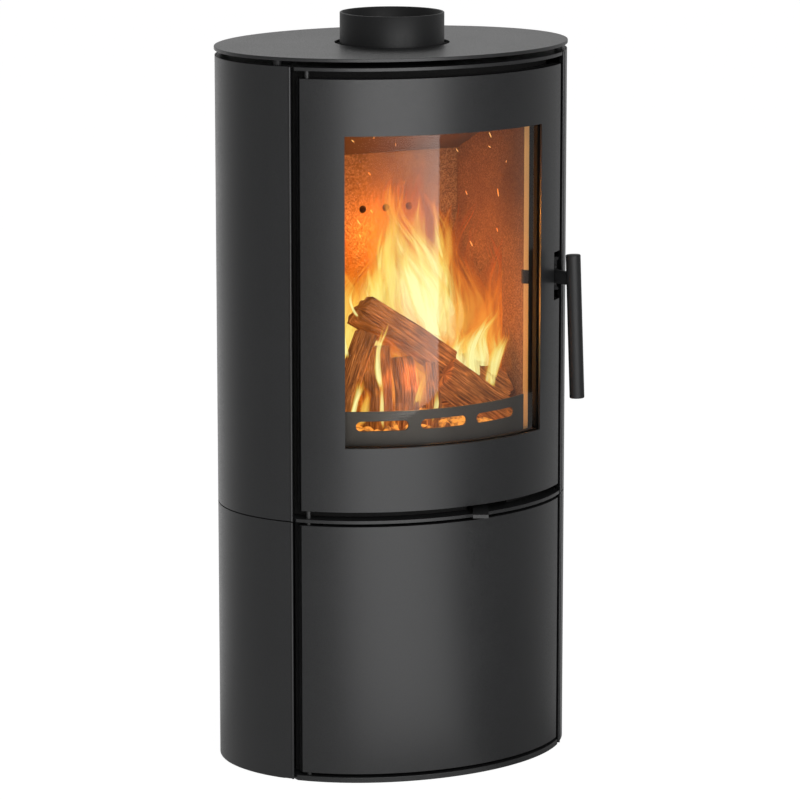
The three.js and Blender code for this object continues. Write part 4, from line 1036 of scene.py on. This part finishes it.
# %% The licks
licks = np.array([
    (50, 62, 560, 54, 690, 50, 858, 85, 0.3, 0.34, 2), (-20, 112, 530, 118, 650, 108, 800, 95, 0.42, 0.5, 2),
    (30, -60, 560, -70, 650, -60, 780, 60, 0.34, 0.36, 2),
    (-50, 132, 520, 134, 630, 130, 760, 70, 0.38, 0.5, 2), (-10, 0, 500, 10, 580, 20, 700, 280, 0.4, 0.48, 2),
    (12, 55, 540, 38, 690, 28, 840, 125, 0.98, 0.9, 2), (16, 80, 540, 83, 680, 84, 815, 70, 0.84, 0.8, 2),
    (10, -10, 550, -26, 670, -4, 800, 80, 0.86, 0.8, 2),
    (16, -75, 540, -78, 640, -55, 745, 100, 0.76, 0.74, 2), (0, 17, 590, -1, 715, 3, 835, 36, 0.84, 0.62, 2),
    (5, 52, 590, 52, 715, 38, 820, 36, 0.86, 0.66, 2), (0, 86, 580, 84, 695, 88, 798, 32, 0.8, 0.6, 2),
    (-20, 66, 570, 30, 679, 6, 752, 32, 1.2, 0.9, 3), (-22, 76, 565, 50, 640, 26, 722, 26, 1.25, 0.92, 2),
    (-14, 94, 560, 88, 640, 76, 712, 20, 1.05, 0.8, 2), (-10, -6, 600, -33, 686, -24, 734, 26, 0.82, 0.66, 2),
    (-10, -45, 600, -62, 655, -50, 715, 20, 0.66, 0.55, 2),
    (-10, 89, 585, 108, 642, 96, 704, 17, 0.9, 0.72, 2), (-10, -24, 706, -24, 735, -17, 764, 9, 0.8, 0.6, 1),
    (-10, 78, 714, 69, 748, 60, 778, 10, 0.85, 0.65, 1), (-60, -80, 650, -96, 678, -88, 708, 8, 0.95, 0.8, 1),
    (-108, -68, 552, -76, 607, -58, 654, 12, 1.05, 0.9, 2),
    (-106, -66, 496, -70, 540, -66, 590, 8, 0.92, 0.8, 1),
    (-106, -120, 505, -106, 549, -95, 580, 13, 1, 0.9, 2),
    (-104, 12, 500, 20, 530, 14, 558, 10, 0.95, 0.8, 1), (-70, 100, 535, 98, 606, 137, 648, 16, 1.2, 0.95, 2),
    (-60, 104, 515, 116, 590, 126, 655, 66, 0.98, 0.9, 2),
    (-78, 124, 530, 128, 585, 146, 632, 34, 0.92, 0.82, 2), (-56, 64, 530, 80, 585, 88, 630, 50, 1, 0.88, 2),
    (-85, -112, 600, -118, 631, -112, 668, 9, 1, 0.8, 1),
    (-100, -16, 505, -6, 550, 10, 596, 16, 0.66, 0.62, 1),
    (-75, 100, 500, 118, 545, 140, 570, 18, 0.6, 0.55, 2),
    (-90, -100, 500, -85, 530, -90, 560, 18, 0.66, 0.55, 2),
])
points, faces, maps = flames(licks)
piece("flames", points, faces, "casing", flame, "vermiculite", closed=False, maps=maps, sharp=180)

# %% [markdown]
# ### Sparks
# Sparks are bits of glowing ash on their way up. Each is a tiny spindle, and a camera's
# exposure draws it out along its path, so they are a few times longer than wide.

# %% Sparks
def spark_finish():
    """Orange to yellow in small patches."""
    finish = Finish("spark")
    return finish.principled(
        Base_Color=(0.0, 0.0, 0.0),
        Roughness=1.0,
        Emission_Color=finish.ramp(finish.grain(90, 2), (0.35, (1.0, 0.34, 0.05)), (0.65, (1.0, 0.66, 0.22))),
        Emission_Strength=1.3,
    )


def spindle(x, z, length, tilt):
    """Six-sided spindle: radius 0.3 mm plus a tenth of length times sqrt(1 - s^2) at s from -1 to 1
    along it, and 0 at both ends; x, z and length in millimetres, tilt in radians."""
    s = np.linspace(-1, 1, 7)[:, None]
    a = np.linspace(0, 2 * np.pi, 6, endpoint=False)
    r = (0.3 + 0.10 * length * np.sqrt(1 - s**2)) * (np.abs(s) < 1)
    across, along = r * np.cos(a), s * length + 0 * a
    c, d = math.cos(tilt), math.sin(tilt)
    points = np.stack([across * c + along * d + x, r * np.sin(a) - 100, along * c - across * d + z], -1)
    return points.reshape(-1, 3) / 1000, quads(7, 6, ring=True)


spark_rows = [
    (107, 910, 4.6, -0.4), (54, 891, 3.4, -0.6), (-111, 914, 3.0, -0.9), (-78, 917, 2.0, 0.2),
    (-85, 866, 3.0, -0.7), (-102, 798, 4.6, -0.6), (-100, 778, 2.8, -0.4), (69, 829, 3.4, -0.4),
    (120, 826, 6.2, -0.15), (77, 755, 5.0, -0.5), (133, 870, 1.8, 0.1), (106, 893, 2.4, -0.9),
    (119, 772, 3.0, -0.3), (-30, 850, 1.6, -0.3), (-82, 812, 3.4, -0.7), (-44, 905, 1.8, 0.0),
]
sparks = join(*(spindle(*row) for row in spark_rows))
piece("sparks", *sparks, "casing", spark_finish(), "vermiculite", sharp=180)

# %% [markdown]
# ## Light
# A photographer lights such a stove with one very large soft box in front and a white room
# behind. The box shows in the glass as a pale sheet that ends in a sharp upright line, and on
# the satin paint as a broad soft gleam. Small warm lamps stand in for the light of the flames.

# %% Lamps
def lamp(name, kind, place, energy, colour=(1, 1, 1), aim=None, **settings):
    """A lamp that the camera doesn't see, turned towards aim where one is given."""
    light = bpy.data.lights.new(name, kind)
    light.energy, light.color = energy, colour
    for key, value in settings.items():
        setattr(light, key, value)
    obj = bpy.data.objects.new(name, light)
    obj.location = place
    if aim:
        obj.rotation_euler = (Vector(aim) - Vector(place)).to_track_quat("-Z", "Y").to_euler()
    obj.visible_camera = False
    bpy.context.scene.collection.objects.link(obj)


def around(azimuth, distance, height):
    """A place round the stove; azimuth in degrees from straight in front towards +X."""
    a = math.radians(azimuth)
    return distance * math.sin(a), -distance * math.cos(a), height


def soft_box(name, place, aim_height, brightness, width, tall):
    """An area lamp; watts = brightness times pi times its area, so that brightness 1 looks white."""
    lamp(name, "AREA", place, brightness * math.pi * width * tall, aim=(0, 0, aim_height),
         shape="RECTANGLE", size=width, size_y=tall)


soft_box("front_soft_box", around(-8.3, 2.7, 1.0), 0.75, 3.1, 2.62, 2.4)
soft_box("back_soft_box", around(168, 2.3, 2.9), 0.6, 1.5, 2.2, 1.1)
FIRE_COLOUR = (1.0, 0.36, 0.07)
for name, place, watts, radius in (
        ("low", (0.03, -0.02, 0.66), 1.6, 0.03), ("high", (0.02, 0.02, 0.75), 2.0, 0.04),
        ("right", (0.09, -0.05, 0.62), 0.5, 0.04), ("front", (-0.02, -0.112, 0.57), 0.22, 0.02)):
    lamp(f"fire_{name}", "POINT", place, watts, FIRE_COLOUR, shadow_soft_size=radius)
print("lamps:", len(bpy.data.lights))

# %% [markdown]
# ## The room
# The room is white behind the stove and dimmer in front of it. What the camera, a reflection or
# the glass sees of it is brighter than what it sends onto the object, so that the picture's
# background stays white while the black paint stays black.

# %% World
WHITE, BEHIND = (1, 1, 1, 1), (0.445, 0.895, 0.0)


def room_light():
    """Strength 1 for the camera, 0.35 for light on the object; a reflection sees 0.25 in front of
    the stove and up to 0.60 behind it."""
    room = Finish("studio", "World")
    away = room.node("VectorMath", {0: room.node("TexCoord"), 1: BEHIND}, "Value", operation="DOT_PRODUCT")
    mirrored = away.maths("MAXIMUM", room.ray("Glossy"), room.ray("Transmission"))
    soft = mirrored * (room.level(away, 0.0, 0.9, 0.25, 0.60) - 0.35) + 0.35
    strength = room.ray("Camera") * (1 - soft) + soft
    return room.surface(room.node("Background", {"Color": WHITE, "Strength": strength}))


bpy.context.scene.world = room_light()
print("world:", bpy.context.scene.world.name)

# %% [markdown]
# ### The floor
# The photograph's floor is the same white as the room, so the camera sees it as nearly plain
# light and only a faint shadow is left. In the satin paint it shows as a dark floor with one
# bright pool where the soft box stands, as a studio's floor does; floor greys and pool are
# painted light that only reflections see.

# %% Floor
def floor_finish():
    """White to the camera but for the shadow; a reflection sees a floor painted dark grey, darker to
    the right and lighter behind, with a painted pool of the soft box's light on it, between two
    azimuths and two distances."""
    finish = Finish("pale_floor")
    place = finish.place()
    x, y = finish.part(place, 0), finish.part(place, 1)
    azimuth = x.maths("ARCTAN2", x, 0 - y)
    # painted light for reflections: a pool of the soft box's light on the floor, in greys that change round
    # the stove
    pool = finish.level(azimuth, -0.66, -0.50) * finish.level(azimuth, 0.44, 0.30)
    pool = pool * finish.level(y, -0.30, -0.55) * finish.level(y, -2.2, -1.7)
    dim = finish.level(azimuth, 0.2, 0.45) * finish.level(azimuth, 1.6, 1.1)
    far = finish.level(abs(azimuth), 2.2, 3.0)
    grey = finish.mix(far, finish.mix(dim, (0.18, 0.18, 0.18), (0.08, 0.08, 0.08)), (0.36, 0.36, 0.36))
    grey = finish.mix(pool, grey, (0.62, 0.62, 0.62))
    paper = finish.mix(finish.grain(3, 3), (0.80, 0.80, 0.80), (0.84, 0.84, 0.84))
    matt = finish.node("BsdfDiffuse", {"Color": paper})
    pale = finish.node("Emission", {"Color": WHITE, "Strength": 1.16})
    lit = finish.node("Emission", {"Color": grey, "Strength": 3.0})
    seen = finish.node("MixShader", {0: finish.ray("Camera") * 0.82, 1: matt, 2: pale})
    return finish.surface(finish.node("MixShader", {0: finish.ray("Glossy"), 1: seen, 2: lit}))


REACH = 20
floor_mesh = bpy.data.meshes.new("floor")
corners = [(x * REACH, y * REACH, 0) for x, y in ((-1, -1), (1, -1), (1, 1), (-1, 1))]
floor_mesh.from_pydata(corners, [], [range(4)])
floor_mesh.materials.append(floor_finish())
floor = bpy.data.objects.new("floor", floor_mesh)
bpy.context.scene.collection.objects.link(floor)
print("floor of", 2 * REACH, "m")

# %% [markdown]
# ## Camera and view
# The camera stands to the left of the stove's front, a little above it, far enough away for
# the upright edges to stay nearly parallel.

# %% Camera
AZIMUTH, DISTANCE, EYE_HEIGHT = -26.344, 6.0691, 1.7133
DOWN, TURN, LENS = 11.165, -26.452, 191.1
camera_data = bpy.data.cameras.new("camera")
camera_data.lens, camera_data.sensor_width, camera_data.clip_end = LENS, 36, 60
camera = bpy.data.objects.new("camera", camera_data)
camera.location = around(AZIMUTH, DISTANCE, EYE_HEIGHT)
camera.rotation_euler = math.radians(90 - DOWN), 0, math.radians(TURN)
bpy.context.scene.collection.objects.link(camera)
bpy.context.scene.camera = camera
bpy.context.scene.view_settings.view_transform = "Standard"
print("camera at", [round(value, 3) for value in camera.location])
